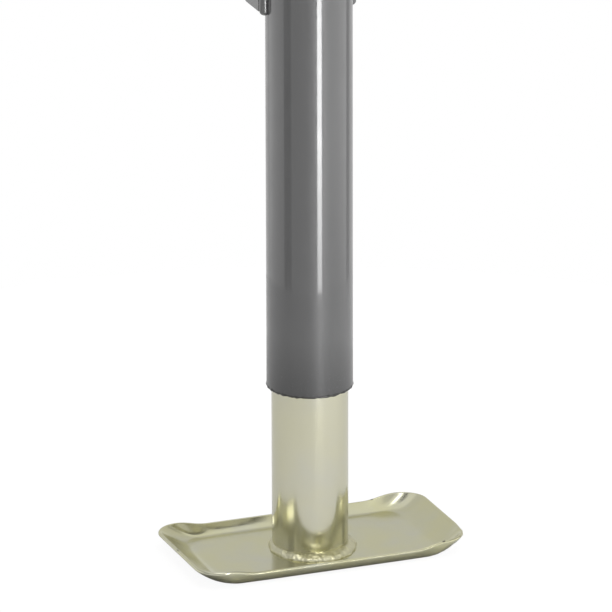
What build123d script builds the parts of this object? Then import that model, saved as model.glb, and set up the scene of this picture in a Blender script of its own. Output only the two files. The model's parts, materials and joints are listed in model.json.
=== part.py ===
from build123d import *

import os
from math import acos, atan, cos, hypot, pi, radians, sin, sqrt, tan

# Sidewind trailer jack with a swivel pipe mount. Millimetres, +Z up, -Y is the cranking side.
# The origin is the middle of the foot's sole, on the axis of the tubes.

# Tubes and travel
outer_tube_od = 57.15
outer_tube_wall = 2.7
rim_z = 116.5  # lower rim of the outer tube above the ground, as it stands
inner_tube_od = 50.8
inner_tube_wall = 3.0
leg_extension = 286.0  # travel left below the standing height
leg_retraction = 95.0  # travel left above it
tube_beyond_travel = 152.5  # outer tube's length for the gears, bearing, nut and the overlap at full reach
top_clearance = 2.0  # left over the inner tube when it is all the way in
rim_chamfer = 0.5

# Foot, a stamped dish
foot_length = 192.4
foot_width = 94.2
foot_corner_radius = 17.0
foot_thickness = 3.0
foot_end_run = 19.4  # in plan, from the edge of the floor to the rim at each end
foot_side_run = 6.7  # the same at each long side
foot_floor_corner = 9.0
foot_end_height = 11.7
foot_side_height = 7.1
foot_low_length = 110.0  # stretch of each long side where the rim stays low
foot_rise_length = 29.2  # along each side, from the low rim to the high one
foot_bend_radius = 5.0
foot_weld_leg = 3.6
weld_belly = 0.6  # share of a bead's leg at which it bulges

# Screw, nut and thrust bearing
screw_d = 19.05
screw_runout = 10.0
screw_chamfer = 1.5
nut_length = 20.0
nut_clearance = 5.4
nut_pin_d = 6.0
nut_pin_count = 3
running_gap = 0.05
journal_d = 15.0
bearing_od = 28.0
bearing_height = 9.0
bearing_bore_gap = 0.5
ball_d = 4.76
ball_gap = 0.02
ball_count = 11
race_groove_depth = 0.9
race_groove_gap = 0.07
cage_thickness = 1.6
cage_edge_gap = 0.4
cage_pocket_gap = 0.04
collar_d = 30.0
collar_height = 9.0
collar_pin_d = 5.0
plate_thickness = 10.0
plate_recess = 2.0
plate_pin_d = 6.0
plate_pin_count = 4
plate_pin_depth = 9.5
gear_washer_thickness = 1.6

# Bevel gears
module = 2.0
gear_teeth = 18
pinion_teeth = 12
pressure_angle = radians(20)
profile_shift = 0.3  # added to the pinion, taken from the gear
tip_clearance = 0.25  # in modules, between a tip and the other gear's root
backlash = 0.4
face_width = 7.0
flank_points = 5
tooth_gap_headroom = 1.0  # how far a tooth gap is cut past the tips
tooth_gap_undercut = 0.2  # how much it narrows below the base circle
tooth_gap_outer_share = 1.15  # of the cone distance, where the cut of a gap starts
tooth_gap_inner_share = 0.8  # of the rim's inner end, where it stops
gear_rim_thickness = 2.4
gear_rim_land = 1.0  # least width of the flat on a gear's back
gear_hub_d = 24.0
gear_hub_length = 10.0
gear_seat_d = 12.7
gear_pin_d = 4.0
screw_top_gap = 2.0  # between the screw's top and the crank shaft
pinion_hub_d = 18.0
pinion_pin_d = 3.0

# Crank shaft and its bushings
crank_axis_drop = 33.0  # below the top of the outer tube
crank_shaft_d = 11.1
bushing_d = 22.0
bushing_inset = 24.5  # from the tube's axis to a bushing's inner face
front_bushing_length = 12.5
back_bushing_length = 9.0
bushing_weld_leg = 3.0
bushing_bore_gap = 0.08
washer_side_gap = 0.1
shaft_washer_d = 19.0
shaft_washer_thickness = 1.5
clip_thickness = 1.2
clip_groove_depth = 0.75
clip_width = 3.0
shaft_end_length = 1.6

# Crank arm and grip
crank_throw = 155.0
arm_hub_d = 26.0
arm_hub_length = 18.0
arm_hub_gap = 0.6
arm_hub_flat = 24.0
arm_thickness = 7.0
arm_jog = 15.5
arm_jog_start = 32.0
arm_jog_height = 30.0
arm_bend_radius = 14.0
arm_waist_width = 18.0
arm_eye_d = 24.0
arm_bolt_d = 6.0
arm_bolt_af = 10.0
arm_bolt_head = 4.0
arm_nut_height = 5.0
spindle_d = 10.0
spindle_head_d = 16.0
spindle_head_thickness = 2.5
grip_length = 92.0
grip_d = 33.0
grip_neck_d = 27.0
grip_collar_d = 35.0
grip_collar_length = 7.0
grip_edge_radius = 2.5
grip_gap = 0.08
grip_end_gap = 0.8
push_nut_d = 17.0
push_nut_thickness = 1.8
push_nut_lip = 1.0
spindle_tip_length = 2.2

# Top cap
cap_overhang = 1.6
cap_rim_height = 4.0
cap_dome_height = 5.0
cap_shoulder_share = 0.6  # of the dome's height, reached one dome height in from the rim
cap_shoulder_slope = (1, -0.4)
cap_wall = 2.5
cap_skirt_length = 15.0
cap_skirt_gap = 0.08
cap_screw_count = 3
cap_screw_d = 4.0
cap_screw_head_d = 7.4
cap_screw_head = 2.3
cap_screw_length = 7.0

# Grease fitting
grease_drop = 50.0
grease_thread_d = 6.0
grease_hex_af = 9.0
grease_hex_height = 4.0
grease_neck_d = 4.2
grease_ball_d = 6.4
grease_reach = 10.0

# Key that stops the leg from turning
key_d = 8.0
key_side_gap = 0.2
key_tip_gap = 0.5
key_head_d = 12.0
key_head = 1.8
key_end_gap = 1.0
key_nut_gap = 6.0

# Saddle and swivel mount
mount_drop = 220.0  # swivel axis below the top of the outer tube
saddle_height = 106.6
saddle_front_y = 3.75
saddle_thickness = 5.0
saddle_gap = 0.025
saddle_back_y = 38.0
saddle_bend_radius = 10.0
saddle_corner_radius = 13.0
saddle_hole_d = 58.0
saddle_weld_d = 6.4
saddle_weld_overrun = 2.5
swivel_plate_d = 115.0
swivel_plate_thickness = 6.0
plate_edge_chamfer = 0.8
pipe_od = 48.3
pipe_wall = 3.7
pipe_journal_d = 47.6  # turned down where the pipe runs in the plate and sits in the flange
pipe_bore_gap = 0.08
pipe_inner_end = 31.5
pipe_reach = 60.5
flange_gap = 0.3
flange_thickness = 6.0
flange_weld_leg = 4.2
ring_groove_depth = 1.4
ring_thickness = 1.9
ring_side_gap = 0.1
ring_d = 53.8
ring_mouth = 9.0
swivel_washer_d = 56.0
swivel_washer_thickness = 1.8

# Plunger that locks the swivel
lock_hole_count = 4
lock_circle_radius = 47.5
plunger_d = 9.5
plunger_gap = 0.08
lock_hole_gap = 0.3
plunger_travel = 7.8
plunger_tip_inset = 0.5
tip_chamfer = 1.0
barrel_length = 26.0
barrel_d = 18.0
barrel_bore_d = 14.0
barrel_wall = 4.0
barrel_weld_leg = 1.0
barrel_end_gap = 0.7
plunger_clip_d = 13.4
plunger_clip_thickness = 1.5
plunger_groove_d = 8.0
spring_wire_d = 1.2
spring_wire_sides = 8
spring_turns = 6
spring_d = 13.1
spring_end_gap = 0.1
ring_hole_reach = 14.0
plunger_nose = 5.0
plunger_flat = 5.0
pull_ring_d = 26.0
pull_ring_wire_d = 2.5
pull_hole_d = 3.4

# Levels and radii that follow
outer_r = outer_tube_od / 2
outer_bore_r = outer_r - outer_tube_wall
outer_tube_length = leg_extension + leg_retraction + tube_beyond_travel
foot_floor_length = foot_length - 2 * foot_end_run
foot_floor_width = foot_width - 2 * foot_side_run
inner_r = inner_tube_od / 2
inner_bore_r = inner_r - inner_tube_wall
outer_top_z = rim_z + outer_tube_length
crank_z = outer_top_z - crank_axis_drop
mount_z = outer_top_z - mount_drop

gear_angle = atan(gear_teeth / pinion_teeth)
pinion_angle = pi / 2 - gear_angle
gear_pitch_r = module * gear_teeth / 2
pinion_pitch_r = module * pinion_teeth / 2
cone_distance = hypot(gear_pitch_r, pinion_pitch_r)
pinion_addendum = module * (1 + profile_shift)
pinion_dedendum = module * (1 + tip_clearance - profile_shift)
gear_addendum = module * (1 - profile_shift)
gear_dedendum = module * (1 + tip_clearance + profile_shift)

gear_back_z = crank_z - pinion_pitch_r - gear_dedendum * sin(gear_angle) - gear_rim_thickness
gear_hub_z = gear_back_z - gear_hub_length
plate_top_z = gear_hub_z - gear_washer_thickness
plate_bottom_z = plate_top_z - plate_thickness
upper_race_z = plate_bottom_z + plate_recess
collar_top_z = upper_race_z - bearing_height
collar_bottom_z = collar_top_z - collar_height
inner_top_z = plate_bottom_z - top_clearance - leg_retraction
nut_top_z = collar_bottom_z - nut_clearance - leg_retraction
nut_bottom_z = nut_top_z - nut_length
key_z = nut_bottom_z - leg_extension - key_nut_gap
screw_bottom_z = nut_bottom_z - leg_extension - screw_runout

plate_front_y = saddle_back_y
plate_rear_y = plate_front_y + swivel_plate_thickness
flange_front_y = plate_rear_y + flange_gap
flange_rear_y = flange_front_y + flange_thickness
pipe_r = pipe_od / 2
pipe_journal_r = pipe_journal_d / 2
pipe_shoulder_y = flange_rear_y + flange_weld_leg
pipe_end_y = pipe_shoulder_y + pipe_reach
lock_hole_r = plunger_d / 2 + lock_hole_gap
plunger_hole_r = plunger_d / 2 + plunger_gap

# Planes whose own X axis is a line of turning, so that an outline on them reads (along, radius)
upright = Plane(origin=(0, 0, 0), x_dir=(0, 0, 1), z_dir=(0, 1, 0))
crank_line = Plane(origin=(0, 0, crank_z), x_dir=(0, 1, 0), z_dir=(1, 0, 0))
grip_line = Plane(origin=(0, 0, crank_z - crank_throw), x_dir=(0, 1, 0), z_dir=(1, 0, 0))
swivel_line = Plane(origin=(0, 0, mount_z), x_dir=(0, 1, 0), z_dir=(1, 0, 0))
plunger_line = Plane(origin=(lock_circle_radius, 0, mount_z), x_dir=(0, 1, 0), z_dir=(1, 0, 0))


def half_outline(line, *points):
    """The face between a line of turning and the (along, radius) points of a turned piece."""
    with BuildSketch(line) as section:
        with BuildLine():
            Polyline(*points, close=True)
        make_face()
    return section.sketch


def turning_axis(line):
    """The axis along a line plane's own X axis."""
    return Axis(line.origin, line.x_dir)


def facing_back(y, z=0.0, x=0.0):
    """A plane that looks along +Y, with +X kept to its own X axis and +Z pointing down its Y axis."""
    return Plane(origin=(x, y, z), x_dir=(1, 0, 0), z_dir=(0, 1, 0))


def facing_side(x, y, z):
    """A plane that looks along +X, with +Y on its own X axis and +Z on its own Y axis."""
    return Plane(origin=(x, y, z), x_dir=(0, 1, 0), z_dir=(1, 0, 0))


def radial_line(angle, z):
    """A line of turning that runs outwards from the tubes' axis at an angle in plan."""
    outwards = (cos(radians(angle)), sin(radians(angle)), 0)
    sideways = (-sin(radians(angle)), cos(radians(angle)), 0)
    return Plane(origin=(0, 0, z), x_dir=outwards, z_dir=sideways)


def spread(count, start):
    """Angles of so many places evenly spaced round the tubes, in degrees."""
    return [start + 360 * place / count for place in range(count)]


def weld_outline(line, start, radius, leg):
    """Half outline of a weld bead with a full belly, in the corner between a tube and a plate."""
    belly = weld_belly * leg
    return half_outline(
        line,
        (start, radius),
        (start, radius + leg),
        (start + belly, radius + belly),
        (start + leg, radius),
    )


def clip_ring(plane, groove_r, outside_r, mouth):
    """The C-shaped face of a spring clip, open towards the plane's own Y axis."""
    with BuildSketch(plane) as ring:
        Circle(outside_r)
        Circle(groove_r, mode=Mode.SUBTRACT)
        Rectangle(mouth, 2 * outside_r, align=(Align.CENTER, Align.MIN), mode=Mode.SUBTRACT)
    return ring.sketch


# Moving parts start with the leg: inner tube, foot, nut
slot_low_z = key_z - leg_retraction - key_d / 2 - key_end_gap
slot_high_z = key_z + leg_extension + key_d / 2 + key_end_gap
slot_width = key_d + 2 * key_side_gap
nut_mid_z = nut_bottom_z + nut_length / 2
nut_pin_angles = spread(nut_pin_count, 30)

with BuildPart() as inner_tube:
    with BuildSketch(Plane.XY.offset(foot_thickness)):
        Circle(inner_r)
        Circle(inner_bore_r, mode=Mode.SUBTRACT)
    extrude(amount=inner_top_z - foot_thickness)
    chamfer(inner_tube.edges().group_by(Axis.Z)[-1], length=rim_chamfer)
    with BuildSketch(facing_back(0)):
        with Locations((0, -(slot_low_z + slot_high_z) / 2)):
            SlotOverall(slot_high_z - slot_low_z, slot_width, rotation=90)
    extrude(amount=outer_r, mode=Mode.SUBTRACT)
    for angle in nut_pin_angles:
        line = radial_line(angle, nut_mid_z)
        hole = half_outline(line, (0, 0), (0, nut_pin_d / 2), (outer_r, nut_pin_d / 2), (outer_r, 0))
        revolve(hole, axis=turning_axis(line), mode=Mode.SUBTRACT)
inner_tube.part.label = "inner_tube"

with BuildPart() as drive_nut:
    with BuildSketch(Plane.XY.offset(nut_bottom_z)):
        Circle(inner_bore_r)
        Circle(screw_d / 2 + running_gap, mode=Mode.SUBTRACT)
    extrude(amount=nut_length)
    chamfer(drive_nut.edges().filter_by(GeomType.CIRCLE), length=rim_chamfer)
    for angle in nut_pin_angles:
        line = radial_line(angle, nut_mid_z)
        hole = half_outline(
            line,
            (inner_bore_r - nut_pin_d, 0),
            (inner_bore_r - nut_pin_d, nut_pin_d / 2),
            (outer_r, nut_pin_d / 2),
            (outer_r, 0),
        )
        revolve(hole, axis=turning_axis(line), mode=Mode.SUBTRACT)
drive_nut.part.label = "drive_nut"

with BuildPart() as nut_pins:
    for angle in nut_pin_angles:
        line = radial_line(angle, nut_mid_z)
        pin = half_outline(
            line,
            (inner_bore_r - nut_pin_d, 0),
            (inner_bore_r - nut_pin_d, nut_pin_d / 2),
            (inner_r - rim_chamfer, nut_pin_d / 2),
            (inner_r - rim_chamfer, 0),
        )
        revolve(pin, axis=turning_axis(line))
nut_pins.part.label = "nut_pins"

# The foot's skins rise from the floor along slopes that are set by the rim
end_slope = atan((foot_end_height - foot_thickness) / foot_end_run)
corner_slope = atan((foot_end_height - foot_thickness) / foot_side_run)
side_slope = atan((foot_side_height - foot_thickness) / foot_side_run)
foot_cut_z = foot_end_height + foot_thickness / 2


def skin_outline(z, under):
    """The outline of the dish's upper skin, or of the one under it, at a height."""

    def half_size(floor_half, slope):
        if under:
            return floor_half + foot_thickness * tan(slope / 2) + z / tan(slope)
        return floor_half + (z - foot_thickness) / tan(slope)

    half_length = half_size(foot_floor_length / 2, end_slope)
    half_width = half_size(foot_floor_width / 2, corner_slope)
    middle_half_width = half_size(foot_floor_width / 2, side_slope)
    corner = foot_floor_corner + half_width - foot_floor_width / 2
    high_x = half_length - corner
    low_x = foot_low_length / 2 * high_x / (foot_low_length / 2 + foot_rise_length)
    with BuildSketch(Plane.XY.offset(z)) as outline:
        with BuildLine():
            for side in (1, -1):
                Line((-side * low_x, side * middle_half_width), (side * low_x, side * middle_half_width))
                Spline(
                    (side * low_x, side * middle_half_width),
                    (side * high_x, side * half_width),
                    tangents=[(side, 0), (side, 0)],
                )
                RadiusArc(
                    (side * high_x, side * half_width),
                    (side * half_length, side * (half_width - corner)),
                    corner,
                )
                Line(
                    (side * half_length, side * (half_width - corner)),
                    (side * half_length, -side * (half_width - corner)),
                )
                RadiusArc(
                    (side * half_length, -side * (half_width - corner)),
                    (side * high_x, -side * half_width),
                    corner,
                )
                Spline(
                    (side * high_x, -side * half_width),
                    (side * low_x, -side * middle_half_width),
                    tangents=[(-side, 0), (-side, 0)],
                )
        make_face()
    return outline.sketch


with BuildPart() as dish_hollow:
    loft([skin_outline(foot_thickness, False), skin_outline(foot_cut_z, False)], ruled=True)
    fillet(dish_hollow.edges().group_by(Axis.Z)[0], radius=foot_bend_radius)

with BuildPart() as foot_plate:
    loft([skin_outline(0, True), skin_outline(foot_cut_z, True)], ruled=True)
    fillet(foot_plate.edges().group_by(Axis.Z)[0], radius=foot_bend_radius + foot_thickness)
    add(dish_hollow.part, mode=Mode.SUBTRACT)
    with BuildSketch(Plane.XY):
        RectangleRounded(foot_length, foot_width, foot_corner_radius)
    extrude(amount=foot_cut_z, mode=Mode.INTERSECT)
    revolve(weld_outline(upright, foot_thickness, inner_r, foot_weld_leg), axis=Axis.Z)
foot_plate.part.label = "foot_plate"

# Lead screw with its thrust bearing, below and above the fixed plate
collar_mid_z = collar_bottom_z + collar_height / 2
gear_pin_z = gear_hub_z + gear_hub_length / 2

with BuildPart() as lead_screw:
    outline = half_outline(
        upright,
        (screw_bottom_z, 0),
        (screw_bottom_z, screw_d / 2 - screw_chamfer),
        (screw_bottom_z + screw_chamfer, screw_d / 2),
        (collar_bottom_z, screw_d / 2),
        (collar_bottom_z, journal_d / 2),
        (plate_top_z, journal_d / 2),
        (plate_top_z, gear_seat_d / 2),
        (crank_z - crank_shaft_d / 2 - screw_top_gap, gear_seat_d / 2),
        (crank_z - crank_shaft_d / 2 - screw_top_gap, 0),
    )
    revolve(outline, axis=Axis.Z)
    for z, d in ((collar_mid_z, collar_pin_d), (gear_pin_z, gear_pin_d)):
        with BuildSketch(facing_side(-screw_d, 0, z)):
            Circle(d / 2)
        extrude(amount=2 * screw_d, mode=Mode.SUBTRACT)
lead_screw.part.label = "lead_screw"

with BuildPart() as thrust_collar:
    with BuildSketch(Plane.XY.offset(collar_bottom_z)):
        Circle(collar_d / 2)
        Circle(journal_d / 2, mode=Mode.SUBTRACT)
    extrude(amount=collar_height)
    chamfer(thrust_collar.edges().sort_by(SortBy.LENGTH)[-2:], length=rim_chamfer)
    with BuildSketch(facing_side(-collar_d, 0, collar_mid_z)):
        Circle(collar_pin_d / 2)
    extrude(amount=2 * collar_d, mode=Mode.SUBTRACT)
thrust_collar.part.label = "thrust_collar"

with BuildPart() as collar_pin:
    with BuildSketch(facing_side(-collar_d / 2 + rim_chamfer, 0, collar_mid_z)):
        Circle(collar_pin_d / 2)
    extrude(amount=collar_d - 2 * rim_chamfer)
collar_pin.part.label = "collar_pin"

bearing_mid_z = collar_top_z + bearing_height / 2
race_thickness = (bearing_height - ball_d) / 2 + race_groove_depth
ball_circle_r = (journal_d + bearing_od) / 4
groove_r = ball_d / 2 + race_groove_gap

with BuildPart() as lower_race:
    with BuildSketch(Plane.XY.offset(collar_top_z)):
        Circle(bearing_od / 2)
        Circle(journal_d / 2, mode=Mode.SUBTRACT)
    extrude(amount=race_thickness)
    with Locations((0, 0, bearing_mid_z)):
        Torus(ball_circle_r, groove_r, mode=Mode.SUBTRACT)
lower_race.part.label = "lower_race"

with BuildPart() as upper_race:
    with BuildSketch(Plane.XY.offset(upper_race_z - race_thickness)):
        Circle(bearing_od / 2)
        Circle(journal_d / 2 + bearing_bore_gap, mode=Mode.SUBTRACT)
    extrude(amount=race_thickness)
    with Locations((0, 0, bearing_mid_z)):
        Torus(ball_circle_r, groove_r, mode=Mode.SUBTRACT)
upper_race.part.label = "upper_race"

with BuildPart() as ball_cage:
    with BuildSketch(Plane.XY.offset(bearing_mid_z - cage_thickness / 2)):
        Circle(bearing_od / 2 - cage_edge_gap)
        Circle(journal_d / 2 + cage_edge_gap, mode=Mode.SUBTRACT)
        with PolarLocations(ball_circle_r, ball_count):
            Circle(ball_d / 2 + cage_pocket_gap, mode=Mode.SUBTRACT)
    extrude(amount=cage_thickness)
ball_cage.part.label = "ball_cage"

with BuildPart() as bearing_balls:
    with Locations((0, 0, bearing_mid_z)):
        with PolarLocations(ball_circle_r, ball_count):
            Sphere(ball_d / 2 - ball_gap)
bearing_balls.part.label = "bearing_balls"

plate_pin_angles = spread(plate_pin_count, 45)
plate_pin_z = (plate_bottom_z + plate_top_z) / 2

with BuildPart() as bearing_plate:
    with BuildSketch(Plane.XY.offset(plate_bottom_z)):
        Circle(outer_bore_r)
        Circle(journal_d / 2 + running_gap, mode=Mode.SUBTRACT)
    extrude(amount=plate_thickness)
    with BuildSketch(Plane.XY.offset(plate_bottom_z)):
        Circle(bearing_od / 2)
    extrude(amount=plate_recess, mode=Mode.SUBTRACT)
    for angle in plate_pin_angles:
        line = radial_line(angle, plate_pin_z)
        hole = half_outline(
            line,
            (outer_r - plate_pin_depth, 0),
            (outer_r - plate_pin_depth, plate_pin_d / 2),
            (2 * outer_r, plate_pin_d / 2),
            (2 * outer_r, 0),
        )
        revolve(hole, axis=turning_axis(line), mode=Mode.SUBTRACT)
bearing_plate.part.label = "bearing_plate"

with BuildPart() as bearing_plate_pins:
    for angle in plate_pin_angles:
        line = radial_line(angle, plate_pin_z)
        pin = half_outline(
            line,
            (outer_r - plate_pin_depth, 0),
            (outer_r - plate_pin_depth, plate_pin_d / 2),
            (outer_r - rim_chamfer, plate_pin_d / 2),
            (outer_r, plate_pin_d / 2 - rim_chamfer),
            (outer_r, 0),
        )
        revolve(pin, axis=turning_axis(line))
bearing_plate_pins.part.label = "bearing_plate_pins"

with BuildPart() as gear_washer:
    with BuildSketch(Plane.XY.offset(plate_top_z)):
        Circle(gear_hub_d / 2)
        Circle(gear_seat_d / 2, mode=Mode.SUBTRACT)
    extrude(amount=gear_washer_thickness)
gear_washer.part.label = "gear_washer"


def involute(angle):
    """The involute function of a pressure angle."""
    return tan(angle) - angle


def tooth_space(teeth, cone_angle, addendum, dedendum, half_thickness, scale):
    """The gap between two teeth, drawn square to the pitch cone at a share of the cone distance.

    The cone's apex is the origin, the gear's axis is +Z and the gap lies towards +X. The flanks are
    involutes of the spur gear that the back cone unrolls into.
    """
    virtual_r = module * teeth / 2 / cos(cone_angle)
    virtual_teeth = teeth / cos(cone_angle)
    base_r = virtual_r * cos(pressure_angle)
    root_r = virtual_r - dedendum
    outside_r = virtual_r + addendum + tooth_gap_headroom

    def flank(radius):
        swing = involute(acos(min(1, base_r / radius)))
        half_tooth = half_thickness / virtual_r + involute(pressure_angle) - swing
        half_gap = pi / virtual_teeth - half_tooth
        return (scale * radius * sin(half_gap), scale * (radius * cos(half_gap) - virtual_r))

    low_r = max(base_r, root_r)
    curve = [flank(low_r + (outside_r - low_r) * step / (flank_points - 1)) for step in range(flank_points)]
    root_x = curve[0][0] * (root_r - tooth_gap_undercut) / low_r
    root_y = scale * (root_r - virtual_r)
    reach = scale * cone_distance
    square_to_cone = Plane(
        origin=(reach * sin(cone_angle), 0, reach * cos(cone_angle)),
        x_dir=(0, 1, 0),
        z_dir=(-sin(cone_angle), 0, -cos(cone_angle)),
    )
    with BuildSketch(square_to_cone) as gap:
        with BuildLine():
            Line((-root_x, root_y), (root_x, root_y))
            Line((root_x, root_y), curve[0])
            Spline(*curve)
            Line(curve[-1], (-curve[-1][0], curve[-1][1]))
            Spline(*[(-x, y) for x, y in reversed(curve)])
            Line((-curve[0][0], curve[0][1]), (-root_x, root_y))
        make_face()
    return gap.sketch


def bevel_wheel(teeth, cone_angle, addendum, dedendum, half_thickness, first_gap, bore_r):
    """A straight bevel gear's toothed rim about +Z, with the cone's apex at the origin."""
    inner_share = 1 - face_width / cone_distance

    def on_cone(share, height):
        radius = share * (cone_distance * sin(cone_angle) + height * cos(cone_angle))
        return (share * (cone_distance * cos(cone_angle) - height * sin(cone_angle)), radius)

    back = on_cone(1, -dedendum)
    back_reach = gear_rim_thickness * tan(cone_angle)
    with BuildPart(mode=Mode.PRIVATE) as gap:
        loft(
            [
                tooth_space(teeth, cone_angle, addendum, dedendum, half_thickness, share)
                for share in (tooth_gap_outer_share, tooth_gap_inner_share * inner_share)
            ],
            ruled=True,
        )
    with BuildPart() as rim:
        outline = half_outline(
            upright,
            (on_cone(inner_share, -dedendum)[0], bore_r),
            on_cone(inner_share, -dedendum),
            on_cone(inner_share, addendum),
            on_cone(1, addendum),
            back,
            (back[0] + gear_rim_thickness, max(bore_r + gear_rim_land, back[1] - back_reach / 2)),
            (back[0] + gear_rim_thickness, bore_r),
        )
        revolve(outline, axis=Axis.Z)
        for place in range(teeth):
            with Locations(Rotation(0, 0, first_gap + 360 * place / teeth)):
                add(gap.part, mode=Mode.SUBTRACT)
    return rim.part


plain_half_tooth = pi * module / 4
shift_thickness = profile_shift * module * tan(pressure_angle)
gear_frame = Plane(origin=(0, 0, crank_z), x_dir=(0, -1, 0), z_dir=(0, 0, -1))
pinion_frame = Plane(origin=(0, 0, crank_z), x_dir=(0, 0, -1), z_dir=(0, -1, 0))

with BuildPart() as bevel_gear:
    with Locations(gear_frame):
        add(
            bevel_wheel(
                gear_teeth,
                gear_angle,
                gear_addendum,
                gear_dedendum,
                plain_half_tooth - shift_thickness - backlash / 4,
                180 / gear_teeth,
                gear_seat_d / 2,
            )
        )
    with BuildSketch(Plane.XY.offset(gear_hub_z)):
        Circle(gear_hub_d / 2)
        Circle(gear_seat_d / 2, mode=Mode.SUBTRACT)
    extrude(amount=gear_hub_length)
    with BuildSketch(facing_side(-gear_hub_d, 0, gear_pin_z)):
        Circle(gear_pin_d / 2)
    extrude(amount=2 * gear_hub_d, mode=Mode.SUBTRACT)
bevel_gear.part.label = "bevel_gear"

with BuildPart() as gear_pin:
    with BuildSketch(facing_side(-gear_hub_d / 2 + rim_chamfer, 0, gear_pin_z)):
        Circle(gear_pin_d / 2)
    extrude(amount=gear_hub_d - 2 * rim_chamfer)
gear_pin.part.label = "gear_pin"

# The crank shaft runs from front to back, through the pinion and two bushings
shaft_r = crank_shaft_d / 2
pinion_back_y = -(gear_pitch_r + pinion_dedendum * sin(pinion_angle) + gear_rim_thickness)
pinion_hub_end_y = -bushing_inset + 2 * washer_side_gap
pinion_pin_y = (pinion_back_y + pinion_hub_end_y) / 2
front_face_y = -bushing_inset - front_bushing_length
back_face_y = bushing_inset + back_bushing_length
hub_near_y = front_face_y - arm_hub_gap
hub_far_y = hub_near_y - arm_hub_length
arm_bolt_y = hub_near_y - (arm_hub_length - arm_thickness) / 2
washer_y = back_face_y + washer_side_gap
clip_y = washer_y + shaft_washer_thickness + washer_side_gap
shaft_end_y = clip_y + clip_thickness + washer_side_gap + shaft_end_length

with BuildPart() as bevel_pinion:
    with Locations(pinion_frame):
        add(
            bevel_wheel(
                pinion_teeth,
                pinion_angle,
                pinion_addendum,
                pinion_dedendum,
                plain_half_tooth + shift_thickness - backlash / 4,
                0,
                shaft_r,
            )
        )
    hub = half_outline(
        crank_line,
        (pinion_back_y + gear_rim_thickness, shaft_r),
        (pinion_back_y + gear_rim_thickness, pinion_hub_d / 2),
        (pinion_hub_end_y, pinion_hub_d / 2),
        (pinion_hub_end_y, shaft_r),
    )
    revolve(hub, axis=turning_axis(crank_line))
    with BuildSketch(facing_side(-pinion_hub_d, pinion_pin_y, crank_z)):
        Circle(pinion_pin_d / 2)
    extrude(amount=2 * pinion_hub_d, mode=Mode.SUBTRACT)
bevel_pinion.part.label = "bevel_pinion"

with BuildPart() as pinion_pin:
    with BuildSketch(facing_side(-pinion_hub_d / 2 + rim_chamfer, pinion_pin_y, crank_z)):
        Circle(pinion_pin_d / 2)
    extrude(amount=pinion_hub_d - 2 * rim_chamfer)
pinion_pin.part.label = "pinion_pin"

with BuildPart() as crank_shaft:
    outline = half_outline(
        crank_line,
        (hub_far_y, 0),
        (hub_far_y, shaft_r),
        (clip_y, shaft_r),
        (clip_y, shaft_r - clip_groove_depth),
        (clip_y + clip_thickness + washer_side_gap, shaft_r - clip_groove_depth),
        (clip_y + clip_thickness + washer_side_gap, shaft_r),
        (shaft_end_y - rim_chamfer, shaft_r),
        (shaft_end_y, shaft_r - rim_chamfer),
        (shaft_end_y, 0),
    )
    revolve(outline, axis=turning_axis(crank_line))
    for y, d in ((pinion_pin_y, pinion_pin_d), (arm_bolt_y, arm_bolt_d)):
        with BuildSketch(facing_side(-crank_shaft_d, y, crank_z)):
            Circle(d / 2)
        extrude(amount=2 * crank_shaft_d, mode=Mode.SUBTRACT)
crank_shaft.part.label = "crank_shaft"

def bushing_outline(side, length):
    """Half outline of a bushing and the weld round it, on the front (-1) or back (1) of the tube."""
    inner_y = side * bushing_inset
    weld_start_y = side * sqrt(outer_r**2 - (bushing_d / 2 + bushing_weld_leg) ** 2)
    return half_outline(
        crank_line,
        (inner_y, shaft_r + bushing_bore_gap),
        (inner_y, bushing_d / 2),
        (weld_start_y, bushing_d / 2),
        (weld_start_y, bushing_d / 2 + bushing_weld_leg),
        (side * (outer_r + bushing_weld_leg), bushing_d / 2),
        (inner_y + side * (length - rim_chamfer), bushing_d / 2),
        (inner_y + side * length, bushing_d / 2 - rim_chamfer),
        (inner_y + side * length, shaft_r + bushing_bore_gap),
    )


with BuildPart() as bushing_clear:
    with BuildSketch(Plane.XY):
        Circle(outer_r)
    extrude(amount=outer_top_z)
    with BuildSketch(facing_back(-outer_tube_od, crank_z)):
        Circle(bushing_d / 2)
    extrude(amount=2 * outer_tube_od, mode=Mode.SUBTRACT)

with BuildPart() as crank_bushing_front:
    revolve(bushing_outline(-1, front_bushing_length), axis=turning_axis(crank_line))
    add(bushing_clear.part, mode=Mode.SUBTRACT)
crank_bushing_front.part.label = "crank_bushing_front"

with BuildPart() as crank_bushing_back:
    revolve(bushing_outline(1, back_bushing_length), axis=turning_axis(crank_line))
    add(bushing_clear.part, mode=Mode.SUBTRACT)
crank_bushing_back.part.label = "crank_bushing_back"

with BuildPart() as shaft_washer:
    with BuildSketch(facing_back(washer_y, crank_z)):
        Circle(shaft_washer_d / 2)
        Circle(shaft_r, mode=Mode.SUBTRACT)
    extrude(amount=shaft_washer_thickness)
shaft_washer.part.label = "shaft_washer"

with BuildPart() as shaft_clip:
    face = clip_ring(
        facing_back(clip_y, crank_z),
        shaft_r - clip_groove_depth,
        shaft_r + clip_width,
        crank_shaft_d - 2 * clip_groove_depth,
    )
    extrude(face, amount=clip_thickness)
shaft_clip.part.label = "shaft_clip"

# Crank arm: a hub, and a flat bar that steps outwards on its way down to the eye
grip_z = crank_z - crank_throw
bar_near_y = hub_far_y + arm_thickness / 2
bar_far_y = bar_near_y - arm_jog
bar_face_y = bar_far_y - arm_thickness / 2
jog_top_z = crank_z - arm_jog_start
jog_bottom_z = jog_top_z - arm_jog_height

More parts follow.
